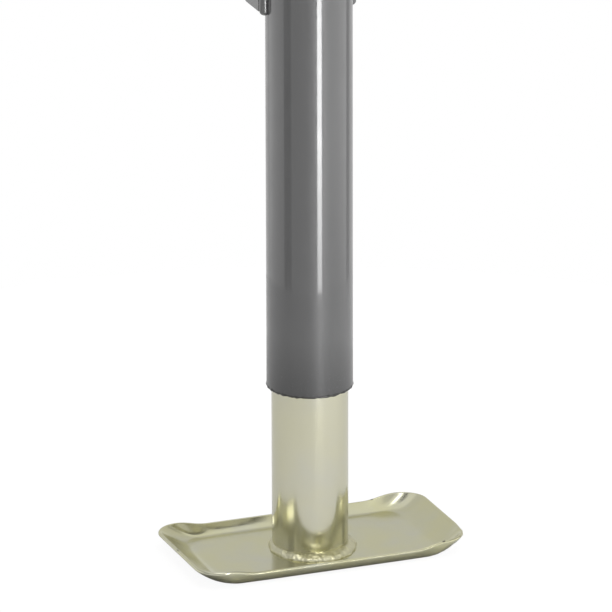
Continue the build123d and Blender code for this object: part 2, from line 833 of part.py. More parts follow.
with BuildPart() as crank_arm:
    with BuildSketch(Plane.YZ):
        with BuildLine() as bend:
            FilletPolyline(
                (bar_near_y, crank_z + arm_hub_d / 2),
                (bar_near_y, jog_top_z),
                (bar_far_y, jog_bottom_z),
                (bar_far_y, grip_z - arm_eye_d / 2),
                radius=arm_bend_radius,
            )
        trace(bend.line, line_width=arm_thickness)
    extrude(amount=arm_hub_d / 2, both=True)
    with BuildSketch(facing_back(bar_face_y - arm_thickness, crank_z)):
        with BuildLine():
            hub_arc = CenterArc((0, 0), arm_hub_d / 2, 180, 180)
            eye_arc = CenterArc((0, crank_throw), arm_eye_d / 2, 0, 180)
            waist = arm_waist_width / 2
            Spline(hub_arc @ 1, (waist, crank_throw / 2), eye_arc @ 0)
            Spline(hub_arc @ 0, (-waist, crank_throw / 2), eye_arc @ 1)
        make_face()
    extrude(amount=arm_jog + 3 * arm_thickness, mode=Mode.INTERSECT)
    with BuildSketch(facing_back(hub_far_y, crank_z)):
        Circle(arm_hub_d / 2)
    extrude(amount=arm_hub_length)
    with BuildSketch(facing_back(hub_far_y + arm_thickness, crank_z)):
        for side in (-1, 1):
            with Locations((side * (arm_hub_flat + arm_hub_d) / 2, 0)):
                Rectangle(arm_hub_d, 2 * arm_hub_d)
    extrude(amount=arm_hub_length - arm_thickness, mode=Mode.SUBTRACT)
    with BuildSketch(facing_back(hub_far_y, crank_z)):
        Circle(shaft_r)
    extrude(amount=arm_hub_length, mode=Mode.SUBTRACT)
    with BuildSketch(facing_back(bar_face_y, grip_z)):
        Circle(spindle_d / 2)
    extrude(amount=arm_thickness, mode=Mode.SUBTRACT)
    with BuildSketch(facing_side(-arm_hub_d, arm_bolt_y, crank_z)):
        Circle(arm_bolt_d / 2)
    extrude(amount=2 * arm_hub_d, mode=Mode.SUBTRACT)
crank_arm.part.label = "crank_arm"

bolt_seat_x = arm_hub_flat / 2
bolt_hex_r = arm_bolt_af / sqrt(3)

with BuildPart() as arm_bolt:
    with BuildSketch(facing_side(-bolt_seat_x - arm_nut_height - screw_chamfer, arm_bolt_y, crank_z)):
        Circle(arm_bolt_d / 2)
    extrude(amount=2 * bolt_seat_x + arm_nut_height + screw_chamfer)
    with BuildSketch(facing_side(bolt_seat_x, arm_bolt_y, crank_z)):
        RegularPolygon(bolt_hex_r, 6, rotation=30)
    extrude(amount=arm_bolt_head)
arm_bolt.part.label = "arm_bolt"

with BuildPart() as arm_nut:
    with BuildSketch(facing_side(-bolt_seat_x - arm_nut_height, arm_bolt_y, crank_z)):
        RegularPolygon(bolt_hex_r, 6, rotation=30)
        Circle(arm_bolt_d / 2, mode=Mode.SUBTRACT)
    extrude(amount=arm_nut_height)
arm_nut.part.label = "arm_nut"

grip_near_y = bar_face_y - grip_end_gap
grip_far_y = grip_near_y - grip_length
push_nut_y = grip_far_y - grip_end_gap
spindle_end_y = push_nut_y - push_nut_thickness - spindle_tip_length
arm_back_y = bar_face_y + arm_thickness

with BuildPart() as grip_spindle:
    outline = half_outline(
        grip_line,
        (arm_back_y + spindle_head_thickness, 0),
        (arm_back_y + spindle_head_thickness, spindle_head_d / 4),
        (arm_back_y, spindle_head_d / 2),
        (arm_back_y, spindle_d / 2),
        (spindle_end_y + rim_chamfer, spindle_d / 2),
        (spindle_end_y, spindle_d / 2 - rim_chamfer),
        (spindle_end_y, 0),
    )
    revolve(outline, axis=turning_axis(grip_line))
grip_spindle.part.label = "grip_spindle"

with BuildPart() as push_nut:
    outline = half_outline(
        grip_line,
        (push_nut_y, spindle_d / 2),
        (push_nut_y, push_nut_d / 2),
        (push_nut_y - push_nut_thickness / 2, push_nut_d / 2),
        (push_nut_y - push_nut_thickness, spindle_d / 2 + push_nut_lip),
        (push_nut_y - push_nut_thickness, spindle_d / 2),
    )
    revolve(outline, axis=turning_axis(grip_line))
push_nut.part.label = "push_nut"

with BuildPart() as grip:
    with BuildSketch(grip_line) as section:
        with BuildLine():
            bore_r = spindle_d / 2 + grip_gap
            collar_end_y = grip_near_y - grip_collar_length
            Polyline(
                (grip_far_y, grip_neck_d / 2),
                (grip_far_y, bore_r),
                (grip_near_y, bore_r),
                (grip_near_y, grip_collar_d / 2),
                (collar_end_y, grip_collar_d / 2),
                (collar_end_y, grip_neck_d / 2),
            )
            ThreePointArc(
                (collar_end_y, grip_neck_d / 2),
                ((collar_end_y + grip_far_y) / 2, grip_d / 2),
                (grip_far_y, grip_neck_d / 2),
            )
        make_face()
        fillet(section.vertices().group_by(Axis.Y)[-1], radius=grip_edge_radius)
    revolve(axis=turning_axis(grip_line))
    far_edges = grip.edges().filter_by(GeomType.CIRCLE).group_by(Axis.Y)[0]
    chamfer(far_edges.sort_by(SortBy.LENGTH)[-1], length=grip_edge_radius)
grip.part.label = "grip"

# Swivel mount: the saddle and its plate belong to the jack, the pipe and flange to the trailer
saddle_in_x = outer_r + saddle_gap
saddle_out_x = saddle_in_x + saddle_thickness
saddle_low_z = mount_z - saddle_height / 2
saddle_depth = saddle_back_y - saddle_front_y

with BuildPart() as saddle_bracket:
    with BuildSketch(Plane.XY.offset(saddle_low_z)) as plan:
        with Locations((0, saddle_front_y)):
            Rectangle(2 * saddle_out_x, saddle_depth, align=(Align.CENTER, Align.MIN))
        fillet(plan.vertices().group_by(Axis.Y)[-1], radius=saddle_bend_radius)
        with BuildSketch(mode=Mode.PRIVATE) as inside:
            with Locations((0, saddle_front_y)):
                Rectangle(2 * saddle_in_x, saddle_depth - saddle_thickness, align=(Align.CENTER, Align.MIN))
            fillet(inside.vertices().group_by(Axis.Y)[-1], radius=saddle_bend_radius - saddle_thickness)
        add(inside.sketch, mode=Mode.SUBTRACT)
    extrude(amount=saddle_height)
    with BuildSketch(Plane.YZ.offset(-saddle_out_x)) as side_view:
        with Locations((saddle_front_y, saddle_low_z)):
            Rectangle(saddle_depth, saddle_height, align=(Align.MIN, Align.MIN))
        fillet(side_view.vertices().group_by(Axis.X)[-1], radius=saddle_corner_radius)
    extrude(amount=2 * saddle_out_x, mode=Mode.INTERSECT)
    with BuildSketch(facing_back(saddle_back_y - 2 * saddle_thickness, mount_z)):
        Circle(saddle_hole_d / 2)
    extrude(amount=2 * saddle_thickness, mode=Mode.SUBTRACT)
    for side in (-1, 1):
        bead_low_z = saddle_low_z - saddle_weld_overrun + saddle_weld_d / 2
        bead_length = saddle_height + 2 * saddle_weld_overrun - saddle_weld_d
        with Locations((side * (saddle_in_x + saddle_weld_d / 4), saddle_front_y - saddle_weld_d / 4, 0)):
            with Locations((0, 0, bead_low_z)):
                Cylinder(saddle_weld_d / 2, bead_length, align=(Align.CENTER, Align.CENTER, Align.MIN))
                Sphere(saddle_weld_d / 2)
            with Locations((0, 0, bead_low_z + bead_length)):
                Sphere(saddle_weld_d / 2)
    with BuildSketch(Plane.XY):
        Circle(outer_r)
    extrude(amount=outer_top_z, mode=Mode.SUBTRACT)
saddle_bracket.part.label = "saddle_bracket"

with BuildPart() as swivel_plate:
    with BuildSketch(facing_back(plate_front_y, mount_z)):
        Circle(swivel_plate_d / 2)
        Circle(pipe_journal_r + pipe_bore_gap, mode=Mode.SUBTRACT)
        with Locations((lock_circle_radius, 0)):
            Circle(plunger_hole_r, mode=Mode.SUBTRACT)
    extrude(amount=swivel_plate_thickness)
    chamfer(swivel_plate.edges().sort_by(SortBy.LENGTH)[-2:], length=plate_edge_chamfer)
swivel_plate.part.label = "swivel_plate"

with BuildPart() as mount_flange:
    with BuildSketch(facing_back(flange_front_y, mount_z)):
        Circle(swivel_plate_d / 2)
        Circle(pipe_journal_r, mode=Mode.SUBTRACT)
        with PolarLocations(lock_circle_radius, lock_hole_count):
            Circle(lock_hole_r, mode=Mode.SUBTRACT)
    extrude(amount=flange_thickness)
    chamfer(mount_flange.edges().sort_by(SortBy.LENGTH)[-2:], length=plate_edge_chamfer)
    weld = weld_outline(swivel_line, flange_rear_y, pipe_journal_r, flange_weld_leg)
    revolve(weld, axis=turning_axis(swivel_line))
mount_flange.part.label = "mount_flange"

washer_far_y = plate_front_y - ring_side_gap
washer_near_y = washer_far_y - swivel_washer_thickness
retainer_far_y = washer_near_y - ring_side_gap
retainer_near_y = retainer_far_y - ring_thickness
pipe_groove_r = pipe_journal_r - ring_groove_depth

with BuildPart() as mount_pipe:
    outline = half_outline(
        swivel_line,
        (pipe_inner_end, pipe_r - pipe_wall),
        (pipe_inner_end, pipe_journal_r),
        (retainer_near_y, pipe_journal_r),
        (retainer_near_y, pipe_groove_r),
        (retainer_far_y, pipe_groove_r),
        (retainer_far_y, pipe_journal_r),
        (pipe_shoulder_y, pipe_journal_r),
        (pipe_shoulder_y, pipe_r),
        (pipe_end_y, pipe_r),
        (pipe_end_y, pipe_r - pipe_wall),
    )
    revolve(outline, axis=turning_axis(swivel_line))
mount_pipe.part.label = "mount_pipe"

with BuildPart() as retaining_ring:
    face = clip_ring(facing_back(retainer_near_y, mount_z), pipe_groove_r, ring_d / 2, ring_mouth)
    extrude(face, amount=ring_thickness)
retaining_ring.part.label = "retaining_ring"

with BuildPart() as swivel_washer:
    with BuildSketch(facing_back(washer_near_y, mount_z)):
        Circle(swivel_washer_d / 2)
        Circle(pipe_journal_r, mode=Mode.SUBTRACT)
    extrude(amount=swivel_washer_thickness)
swivel_washer.part.label = "swivel_washer"

# Plunger, drawn out of the flange as the jack stands
barrel_front_y = plate_front_y - barrel_length
tip_y = plate_rear_y - plunger_tip_inset
clip_far_y = plate_front_y - barrel_end_gap - plunger_travel
clip_near_y = clip_far_y - plunger_clip_thickness
spring_start_y = barrel_front_y + barrel_wall
ring_hole_y = barrel_front_y - ring_hole_reach
nose_y = ring_hole_y - plunger_nose

with BuildPart() as plunger_barrel:
    outline = half_outline(
        plunger_line,
        (barrel_front_y, plunger_hole_r),
        (barrel_front_y, barrel_d / 2 - rim_chamfer),
        (barrel_front_y + rim_chamfer, barrel_d / 2),
        (plate_front_y - barrel_weld_leg, barrel_d / 2),
        (plate_front_y, barrel_d / 2 + barrel_weld_leg),
        (plate_front_y, barrel_bore_d / 2),
        (spring_start_y, barrel_bore_d / 2),
        (spring_start_y, plunger_hole_r),
    )
    revolve(outline, axis=turning_axis(plunger_line))
plunger_barrel.part.label = "plunger_barrel"

with BuildPart() as plunger_pin:
    outline = half_outline(
        plunger_line,
        (nose_y, 0),
        (nose_y, plunger_d / 2 - tip_chamfer),
        (nose_y + tip_chamfer, plunger_d / 2),
        (clip_near_y, plunger_d / 2),
        (clip_near_y, plunger_groove_d / 2),
        (clip_far_y, plunger_groove_d / 2),
        (clip_far_y, plunger_d / 2),
        (tip_y - tip_chamfer, plunger_d / 2),
        (tip_y, plunger_d / 2 - tip_chamfer),
        (tip_y, 0),
    )
    revolve(outline, axis=turning_axis(plunger_line))
    with BuildSketch(facing_back(nose_y, mount_z, lock_circle_radius)):
        for side in (-1, 1):
            with Locations((side * (plunger_flat + plunger_d) / 2, 0)):
                Rectangle(plunger_d, 2 * plunger_d)
    extrude(amount=2 * plunger_nose, mode=Mode.SUBTRACT)
    with BuildSketch(facing_side(0, ring_hole_y, mount_z)):
        Circle(pull_hole_d / 2)
    extrude(amount=2 * lock_circle_radius, mode=Mode.SUBTRACT)
plunger_pin.part.label = "plunger_pin"

with BuildPart() as plunger_clip:
    face = clip_ring(
        facing_back(clip_near_y, mount_z, lock_circle_radius),
        plunger_groove_d / 2,
        plunger_clip_d / 2,
        plunger_groove_d,
    )
    extrude(face, amount=plunger_clip_thickness)
plunger_clip.part.label = "plunger_clip"

coil_start_y = spring_start_y + spring_wire_d / 2 + spring_end_gap
coil_length = clip_near_y - spring_start_y - spring_wire_d - 2 * spring_end_gap
coil_r = (spring_d - spring_wire_d) / 2

with BuildPart() as plunger_spring:
    with BuildLine() as coil:
        Helix(
            coil_length / spring_turns,
            coil_length,
            coil_r,
            center=(lock_circle_radius, coil_start_y, mount_z),
            direction=(0, 1, 0),
        )
    with BuildSketch(Plane(origin=coil.line @ 0, z_dir=coil.line % 0)):
        RegularPolygon(spring_wire_d / 2, spring_wire_sides)
    sweep(path=coil.line, is_frenet=True)
plunger_spring.part.label = "plunger_spring"

pull_ring_r = (pull_ring_d - pull_ring_wire_d) / 2

with BuildPart() as pull_ring:
    with Locations(facing_back(ring_hole_y, mount_z - pull_ring_r, lock_circle_radius)):
        Torus(pull_ring_r, pull_ring_wire_d / 2)
pull_ring.part.label = "pull_ring"

# Outer tube, with every hole that the pieces above need
grease_z = outer_top_z - grease_drop
cap_screw_z = outer_top_z - (cap_skirt_length / 2)
cap_screw_angles = spread(cap_screw_count, 30)

with BuildPart() as outer_tube:
    with BuildSketch(Plane.XY.offset(rim_z)):
        Circle(outer_r)
        Circle(outer_bore_r, mode=Mode.SUBTRACT)
    extrude(amount=outer_tube_length)
    chamfer(outer_tube.edges().group_by(Axis.Z)[0], length=rim_chamfer)
    with BuildSketch(facing_back(-outer_tube_od, crank_z)):
        Circle(bushing_d / 2)
    extrude(amount=2 * outer_tube_od, mode=Mode.SUBTRACT)
    with BuildSketch(facing_back(0, key_z)):
        Circle(key_d / 2)
    extrude(amount=outer_tube_od, mode=Mode.SUBTRACT)
    wall_holes = [(angle, plate_pin_z, plate_pin_d) for angle in plate_pin_angles]
    wall_holes += [(angle, cap_screw_z, cap_screw_d) for angle in cap_screw_angles]
    wall_holes += [(0, grease_z, grease_thread_d)]
    for angle, z, d in wall_holes:
        line = radial_line(angle, z)
        hole = half_outline(line, (0, 0), (0, d / 2), (outer_tube_od, d / 2), (outer_tube_od, 0))
        revolve(hole, axis=turning_axis(line), mode=Mode.SUBTRACT)
outer_tube.part.label = "outer_tube"

with BuildPart() as leg_key:
    key_line = facing_side(0, 0, key_z)
    outline = half_outline(
        key_line,
        (inner_bore_r + key_tip_gap, 0),
        (inner_bore_r + key_tip_gap, key_d / 2),
        (outer_r, key_d / 2),
        (outer_r, key_head_d / 2),
        (outer_r + key_head / 2, key_head_d / 2 - rim_chamfer),
        (outer_r + key_head, key_head_d / 4),
        (outer_r + key_head, 0),
    )
    revolve(outline, axis=turning_axis(key_line))
leg_key.part.label = "leg_key"

skirt_r = outer_bore_r - cap_skirt_gap
cap_rim_r = outer_r + cap_overhang
cap_top_z = outer_top_z + cap_rim_height + cap_dome_height
shoulder_z = outer_top_z + cap_rim_height + cap_shoulder_share * cap_dome_height

with BuildPart() as top_cap:
    with BuildSketch(upright):
        with BuildLine():
            Polyline(
                (cap_top_z - cap_wall, 0),
                (outer_top_z + cap_wall / 2, skirt_r - cap_wall),
                (outer_top_z - cap_skirt_length, skirt_r - cap_wall),
                (outer_top_z - cap_skirt_length, skirt_r),
                (outer_top_z, skirt_r),
                (outer_top_z, cap_rim_r),
                (outer_top_z + cap_rim_height, cap_rim_r),
            )
            Spline(
                (outer_top_z + cap_rim_height, cap_rim_r),
                (shoulder_z, cap_rim_r - cap_dome_height),
                (cap_top_z, 0),
                tangents=[cap_shoulder_slope, (0, -1)],
            )
            Line((cap_top_z, 0), (cap_top_z - cap_wall, 0))
        make_face()
    revolve(axis=Axis.Z)
    for angle in cap_screw_angles:
        line = radial_line(angle, cap_screw_z)
        hole = half_outline(line, (0, 0), (0, cap_screw_d / 2), (outer_r, cap_screw_d / 2), (outer_r, 0))
        revolve(hole, axis=turning_axis(line), mode=Mode.SUBTRACT)
top_cap.part.label = "top_cap"

with BuildPart() as cap_screws:
    for angle in cap_screw_angles:
        line = radial_line(angle, cap_screw_z)
        screw = half_outline(
            line,
            (outer_r - cap_screw_length, 0),
            (outer_r - cap_screw_length, cap_screw_d / 4),
            (outer_r - cap_screw_length + cap_screw_d / 2, cap_screw_d / 2),
            (outer_r, cap_screw_d / 2),
            (outer_r, cap_screw_head_d / 2),
            (outer_r + cap_screw_head / 2, cap_screw_head_d / 2 - rim_chamfer / 2),
            (outer_r + cap_screw_head, cap_screw_head_d / 4),
            (outer_r + cap_screw_head, 0),
        )
        revolve(screw, axis=turning_axis(line))
cap_screws.part.label = "cap_screws"

with BuildPart() as grease_fitting:
    grease_line = radial_line(0, grease_z)
    grease_hex_x = outer_r
    grease_neck_x = grease_hex_x + grease_hex_height
    grease_tip_x = grease_hex_x + grease_reach
    outline = half_outline(
        grease_line,
        (outer_bore_r, 0),
        (outer_bore_r, grease_thread_d / 2),
        (grease_hex_x, grease_thread_d / 2),
        (grease_hex_x, grease_neck_d / 2),
        (grease_tip_x - grease_ball_d / 2, grease_neck_d / 2),
        (grease_tip_x - grease_ball_d / 3, grease_ball_d / 2),
        (grease_tip_x, grease_neck_d / 2),
        (grease_tip_x, 0),
    )
    revolve(outline, axis=turning_axis(grease_line))
    with BuildSketch(facing_side(grease_hex_x, 0, grease_z)):
        RegularPolygon(grease_hex_af / sqrt(3), 6)
    extrude(amount=grease_hex_height)
grease_fitting.part.label = "grease_fitting"

pieces = [
    outer_tube,
    saddle_bracket,
    swivel_plate,
    plunger_barrel,
    top_cap,
    cap_screws,
    grease_fitting,
    leg_key,
    bearing_plate,
    bearing_plate_pins,
    upper_race,
    crank_bushing_front,
    crank_bushing_back,
    lead_screw,
    thrust_collar,
    collar_pin,
    lower_race,
    gear_washer,
    bevel_gear,
    gear_pin,
    ball_cage,
    bearing_balls,
    crank_shaft,
    bevel_pinion,
    pinion_pin,
    shaft_washer,
    shaft_clip,
    crank_arm,
    arm_bolt,
    arm_nut,
    grip_spindle,
    push_nut,
    grip,
    plunger_pin,
    plunger_clip,
    plunger_spring,
    pull_ring,
    inner_tube,
    foot_plate,
    drive_nut,
    nut_pins,
    mount_pipe,
    mount_flange,
    retaining_ring,
    swivel_washer,
]

os.makedirs("parts", exist_ok=True)
for piece in pieces:
    export_step(piece.part, f"parts/{piece.part.label}.step")
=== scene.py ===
"""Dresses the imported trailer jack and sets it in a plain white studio.

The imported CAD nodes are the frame, and each gets a finish made of shader nodes that read the piece's
own coordinates. The stamped foot with its weld, the paint's edge at the outer tube's lower end, and
the weld beads of the saddle and the mount pipe are modelled here.
"""

from __future__ import annotations

import json
import logging
import math
from dataclasses import dataclass
from enum import Enum
from typing import Callable

import bmesh
import bpy
from mathutils import Matrix, Vector

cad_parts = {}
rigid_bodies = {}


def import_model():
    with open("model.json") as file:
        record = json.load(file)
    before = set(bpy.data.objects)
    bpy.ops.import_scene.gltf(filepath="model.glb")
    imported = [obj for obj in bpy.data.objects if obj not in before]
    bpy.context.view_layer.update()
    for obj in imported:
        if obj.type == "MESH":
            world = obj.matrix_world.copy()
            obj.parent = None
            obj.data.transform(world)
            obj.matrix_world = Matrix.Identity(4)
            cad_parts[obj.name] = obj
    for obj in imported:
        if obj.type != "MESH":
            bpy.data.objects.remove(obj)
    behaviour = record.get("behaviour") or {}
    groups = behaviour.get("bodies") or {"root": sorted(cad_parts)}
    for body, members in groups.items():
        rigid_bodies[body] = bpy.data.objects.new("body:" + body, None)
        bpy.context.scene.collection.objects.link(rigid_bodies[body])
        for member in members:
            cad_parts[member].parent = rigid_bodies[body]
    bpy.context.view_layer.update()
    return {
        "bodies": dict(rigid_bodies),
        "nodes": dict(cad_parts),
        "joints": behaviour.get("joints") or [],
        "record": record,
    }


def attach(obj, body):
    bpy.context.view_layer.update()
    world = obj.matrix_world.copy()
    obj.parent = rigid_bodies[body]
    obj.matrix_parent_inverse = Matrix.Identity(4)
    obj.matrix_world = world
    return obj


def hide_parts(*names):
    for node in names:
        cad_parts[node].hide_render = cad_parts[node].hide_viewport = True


LOG = logging.getLogger("trailer_jack")
Pair = tuple[float, float]
Triple = tuple[float, float, float]
Colour = Triple
Socket = bpy.types.NodeSocket
ORIGIN = (0.0, 0.0, 0.0)
WHITE = (1.0, 1.0, 1.0, 1.0)
MOST_NOISE: Pair = (0.3, 0.7)  # where most of a noise value falls
RISING: Pair = (0.0, 1.0)
FALLING: Pair = (1.0, 0.0)


def opaque(colour: Socket | Colour) -> Socket | tuple[float, ...]:
    """Gives a plain colour full opacity, and leaves a socket as it is.

    Args:
        colour: A colour, or the socket of one.

    Returns:
        What a colour input takes.
    """
    return colour if isinstance(colour, Socket) else (*colour, 1.0)


class NodeWeb:
    """A tree of shader nodes, with one call for each node and its links."""

    def __init__(self, owner: bpy.types.Material | bpy.types.World, empty: bool) -> None:
        """Opens the tree of a material or a world.

        Args:
            owner: What the nodes belong to.
            empty: Whether the nodes that it starts with are taken out.
        """
        owner.use_nodes = True
        self.tree = owner.node_tree
        if empty:
            self.tree.nodes.clear()

    def feed(self, made: bpy.types.Node, inputs: dict[str | int, object]) -> None:
        """Sets the inputs of a node.

        Args:
            made: The node.
            inputs: What each input gets, by name or number: a socket to link, or a value.
        """
        for key, value in inputs.items():
            if isinstance(value, Socket):
                self.tree.links.new(value, made.inputs[key])
            else:
                made.inputs[key].default_value = value

    def node(
        self, kind: str, inputs: dict[str | int, object] | None = None, **settings: object
    ) -> bpy.types.Node:
        """Adds a node.

        Args:
            kind: Type name of the node.
            inputs: What each input gets.
            settings: The node's own properties.

        Returns:
            The new node.
        """
        made = self.tree.nodes.new(kind)
        for key, value in settings.items():
            setattr(made, key, value)
        self.feed(made, inputs or {})
        return made

    def between(self, value: Socket, source: Pair, target: Pair) -> Socket:
        """Maps a value from one range to another, clamped.

        Args:
            value: The value's socket.
            source: The range that it comes in.
            target: What the ends of that range become.

        Returns:
            The mapped value's socket.
        """
        inputs = {
            "Value": value,
            "From Min": source[0],
            "From Max": source[1],
            "To Min": target[0],
            "To Max": target[1],
        }
        return self.node("ShaderNodeMapRange", inputs).outputs["Result"]

    def height(self, place: Socket) -> Socket:
        """Takes the upright part of a place or a direction.

        Args:
            place: Socket of the place or direction.

        Returns:
            Socket of its third coordinate.
        """
        return self.node("ShaderNodeSeparateXYZ", {"Vector": place}).outputs["Z"]


class ShaderWeb(NodeWeb):
    """The nodes of one finish, with its principled surface and the piece's own coordinates."""

    mix_inputs = (6, 7)  # numbers of the mix node's colour sockets, as its other sockets share their names
    mix_output = 2

    def __init__(self, name: str) -> None:
        """Starts a material.

        Args:
            name: Name of the material.
        """
        self.material = bpy.data.materials.new(name)
        super().__init__(self.material, empty=False)
        self.surface = next(node for node in self.tree.nodes if node.type == "BSDF_PRINCIPLED")
        self.place = self.node("ShaderNodeTexCoord").outputs["Object"]

    def stretched(self, scale: Triple) -> Socket:
        """Stretches the piece's coordinates.

        Args:
            scale: What each axis is multiplied by.

        Returns:
            Socket of the stretched coordinates.
        """
        return self.node("ShaderNodeMapping", {"Vector": self.place, "Scale": scale}).outputs["Vector"]

    def noise(self, place: Socket, scale: float, detail: float = 3.0, roughness: float = 0.5) -> Socket:
        """Makes a cloudy value from 0 to 1.

        Args:
            place: Coordinates that it reads.
            scale: Clouds per metre.
            detail: Octaves of finer clouds.
            roughness: Weight of the finer ones.

        Returns:
            The noise value's socket.
        """
        inputs = {"Vector": place, "Scale": scale, "Detail": detail, "Roughness": roughness}
        return self.node("ShaderNodeTexNoise", inputs).outputs["Fac"]

    def ramp(self, value: Socket, stops: tuple[tuple[float, Colour], ...]) -> Socket:
        """Colours a value.

        Args:
            value: What picks the colour.
            stops: Places from 0 to 1, each with its colour.

        Returns:
            The colour's socket.
        """
        made = self.node("ShaderNodeValToRGB", {"Fac": value})
        elements = made.color_ramp.elements
        while len(elements) < len(stops):
            elements.new(1.0)
        for element, (place, colour) in zip(elements, stops):
            element.position = place
            element.color = opaque(colour)
        return made.outputs["Color"]

    def blend(self, value: Socket, low: Socket | Colour, high: Socket | Colour) -> Socket:
        """Mixes two colours.

        Args:
            value: Share of the second colour.
            low: The first colour.
            high: The second colour.

        Returns:
            The mixed colour's socket.
        """
        first, second = self.mix_inputs
        inputs = {"Factor": value, first: opaque(low), second: opaque(high)}
        return self.node("ShaderNodeMix", inputs, data_type="RGBA").outputs[self.mix_output]

    def bump(self, height: Socket, strength: float, distance: float, under: Socket | None = None) -> Socket:
        """Turns a height into a shading normal.

        Args:
            height: Height from 0 to 1.
            strength: Weight of the bump.
            distance: Height of 1 in metres.
            under: Normal of a coarser bump below this one.

        Returns:
            The normal's socket.
        """
        inputs = {"Height": height, "Strength": strength, "Distance": distance}
        if under is not None:
            inputs["Normal"] = under
        return self.node("ShaderNodeBump", inputs).outputs["Normal"]

    def finish(self, **inputs: object) -> bpy.types.Material:
        """Feeds the principled surface.

        Args:
            inputs: What each input gets, with an underscore for each blank in its name.

        Returns:
            The finished material.
        """
        self.feed(self.surface, {key.replace("_", " "): value for key, value in inputs.items()})
        return self.material


@dataclass(frozen=True)
class GlossPaint:
    """Sprayed enamel: a clear skin with faint orange peel over one even colour."""

    name: str
    colour: Colour
    shade: Colour  # of its darker clouds and its specks
    cloud_scale: float = 9.0
    speck_scale: float = 900.0
    speck_range: Pair = (0.62, 0.80)  # only the tops of the noise show as specks
    gloss_scale: float = 70.0
    gloss_range: Pair = (0.30, 0.42)  # roughness under the skin
    peel_scale: float = 260.0
    peel_strength: float = 0.5
    peel_height: float = 0.00002
    skin: float = 0.9
    skin_roughness: float = 0.04
    dull_range: Pair = (0.116, 0.156)  # heights between which the painted shade and the thinner skin above the rim fade out
    dull_share: float = 0.66  # the painted shade's colour, as a share of the shade
    dull_skin: float = 0.35  # the skin left on it

    def material(self) -> bpy.types.Material:
        """Builds the paint.

        Returns:
            The material.
        """
        web = ShaderWeb(self.name)
        clouds = web.noise(web.place, self.cloud_scale, detail=4.0)
        peel = web.noise(web.place, self.peel_scale, detail=2.0)
        specks = web.between(web.noise(web.place, self.speck_scale, detail=1.0), self.speck_range, RISING)
        # painted shade: just above the outer tube's lower rim the colour is darkened by height alone, and the
        # clear skin is thinned
        rim_shade_and_dull = web.between(web.height(web.place), self.dull_range, FALLING)
        painted_rim_shade = tuple(part * self.dull_share for part in self.shade)
        colour = web.blend(rim_shade_and_dull, web.blend(clouds, self.shade, self.colour), painted_rim_shade)
        gloss = web.noise(web.place, self.gloss_scale, detail=4.0)
        return web.finish(
            Base_Color=web.blend(specks, colour, self.shade),
            Roughness=web.between(gloss, MOST_NOISE, self.gloss_range),
            Normal=web.bump(peel, self.peel_strength, self.peel_height),
            Coat_Weight=web.between(rim_shade_and_dull, RISING, (self.skin, self.dull_skin)),
            Coat_Roughness=self.skin_roughness,
        )


@dataclass(frozen=True)
class ZincPlate:
    """Zinc plating with a clear yellow passivate, clouded from warm to cool."""

    name: str
    warm: Colour
    plain: Colour
    cool: Colour
    roughness: Pair = (0.18, 0.26)
    cloud_scale: float = 22.0
    tint_stops: Triple = (0.30, 0.50, 0.66)  # where the clouds are cool, plain and warm
    spot_scale: float = 420.0
    spot_range: Pair = (0.66, 0.78)
    spot_share: float = 0.25
    grain: Triple = (1.0, 1.0, 1.0)  # a small scale on one axis draws the grain out along it
    grain_scale: float = 700.0
    grain_height: float = 0.000004
    gloss_scale: float = 160.0
    wave_scale: float = 55.0
    wave_height: float = 0.00003
    underside_share: float = 1.0  # painted shade: how bright the plating is left where it faces the ground
    underside_range: Pair = (-0.35, -0.90)  # upright parts of the normal between which the painted shade comes in
    nicks: tuple[tuple[Triple, float], ...] = ()  # places and radii of marks where it is knocked off
    nick_core: float = 0.6  # share of a mark's radius that is bare
    nick_colour: Colour = (0.10, 0.095, 0.075)

    def material(self) -> bpy.types.Material:
        """Builds the plating.

        Returns:
            The material.
        """
        web = ShaderWeb(self.name)
        clouds = web.noise(web.place, self.cloud_scale, roughness=0.55)
        tint = web.ramp(clouds, tuple(zip(self.tint_stops, (self.cool, self.plain, self.warm))))
        specks = web.noise(web.place, self.spot_scale, detail=2.0)
        spots = web.between(specks, self.spot_range, (0.0, self.spot_share))
        drawn = web.stretched(self.grain)
        waves = web.noise(web.place, self.wave_scale, detail=2.0)
        gloss = web.noise(drawn, self.gloss_scale, detail=5.0, roughness=0.6)
        below = web.bump(waves, 1.0, self.wave_height)
        return web.finish(
            Base_Color=self.mark(web, self.darken(web, web.blend(spots, tint, self.cool))),
            Metallic=1.0,
            Roughness=web.between(gloss, MOST_NOISE, self.roughness),
            Normal=web.bump(web.noise(drawn, self.grain_scale), 1.0, self.grain_height, below),
        )

    def darken(self, web: ShaderWeb, colour: Socket) -> Socket:
        """Paints shade on the plating where it faces the ground, by darkening its colour.

        Args:
            web: The finish's nodes.
            colour: The plating's colour.

        Returns:
            The colour with its painted shade underneath.
        """
        if self.underside_share == 1.0:
            return colour
        facing = web.node("ShaderNodeNewGeometry").outputs["Normal"]
        dim = tuple(part * self.underside_share for part in self.warm)
        return web.blend(web.between(web.height(facing), self.underside_range, RISING), colour, dim)

    def mark(self, web: ShaderWeb, colour: Socket) -> Socket:
        """Knocks the plating off at its nicks.

        Args:
            web: The finish's nodes.
            colour: The plating's colour.

        Returns:
            The colour with its nicks.
        """
        for place, radius in self.nicks:
            away = web.node("ShaderNodeVectorMath", {0: web.place, 1: place}, operation="DISTANCE")
            bare = web.between(away.outputs["Value"], (radius * self.nick_core, radius), FALLING)
            colour = web.blend(bare, colour, self.nick_colour)
        return colour


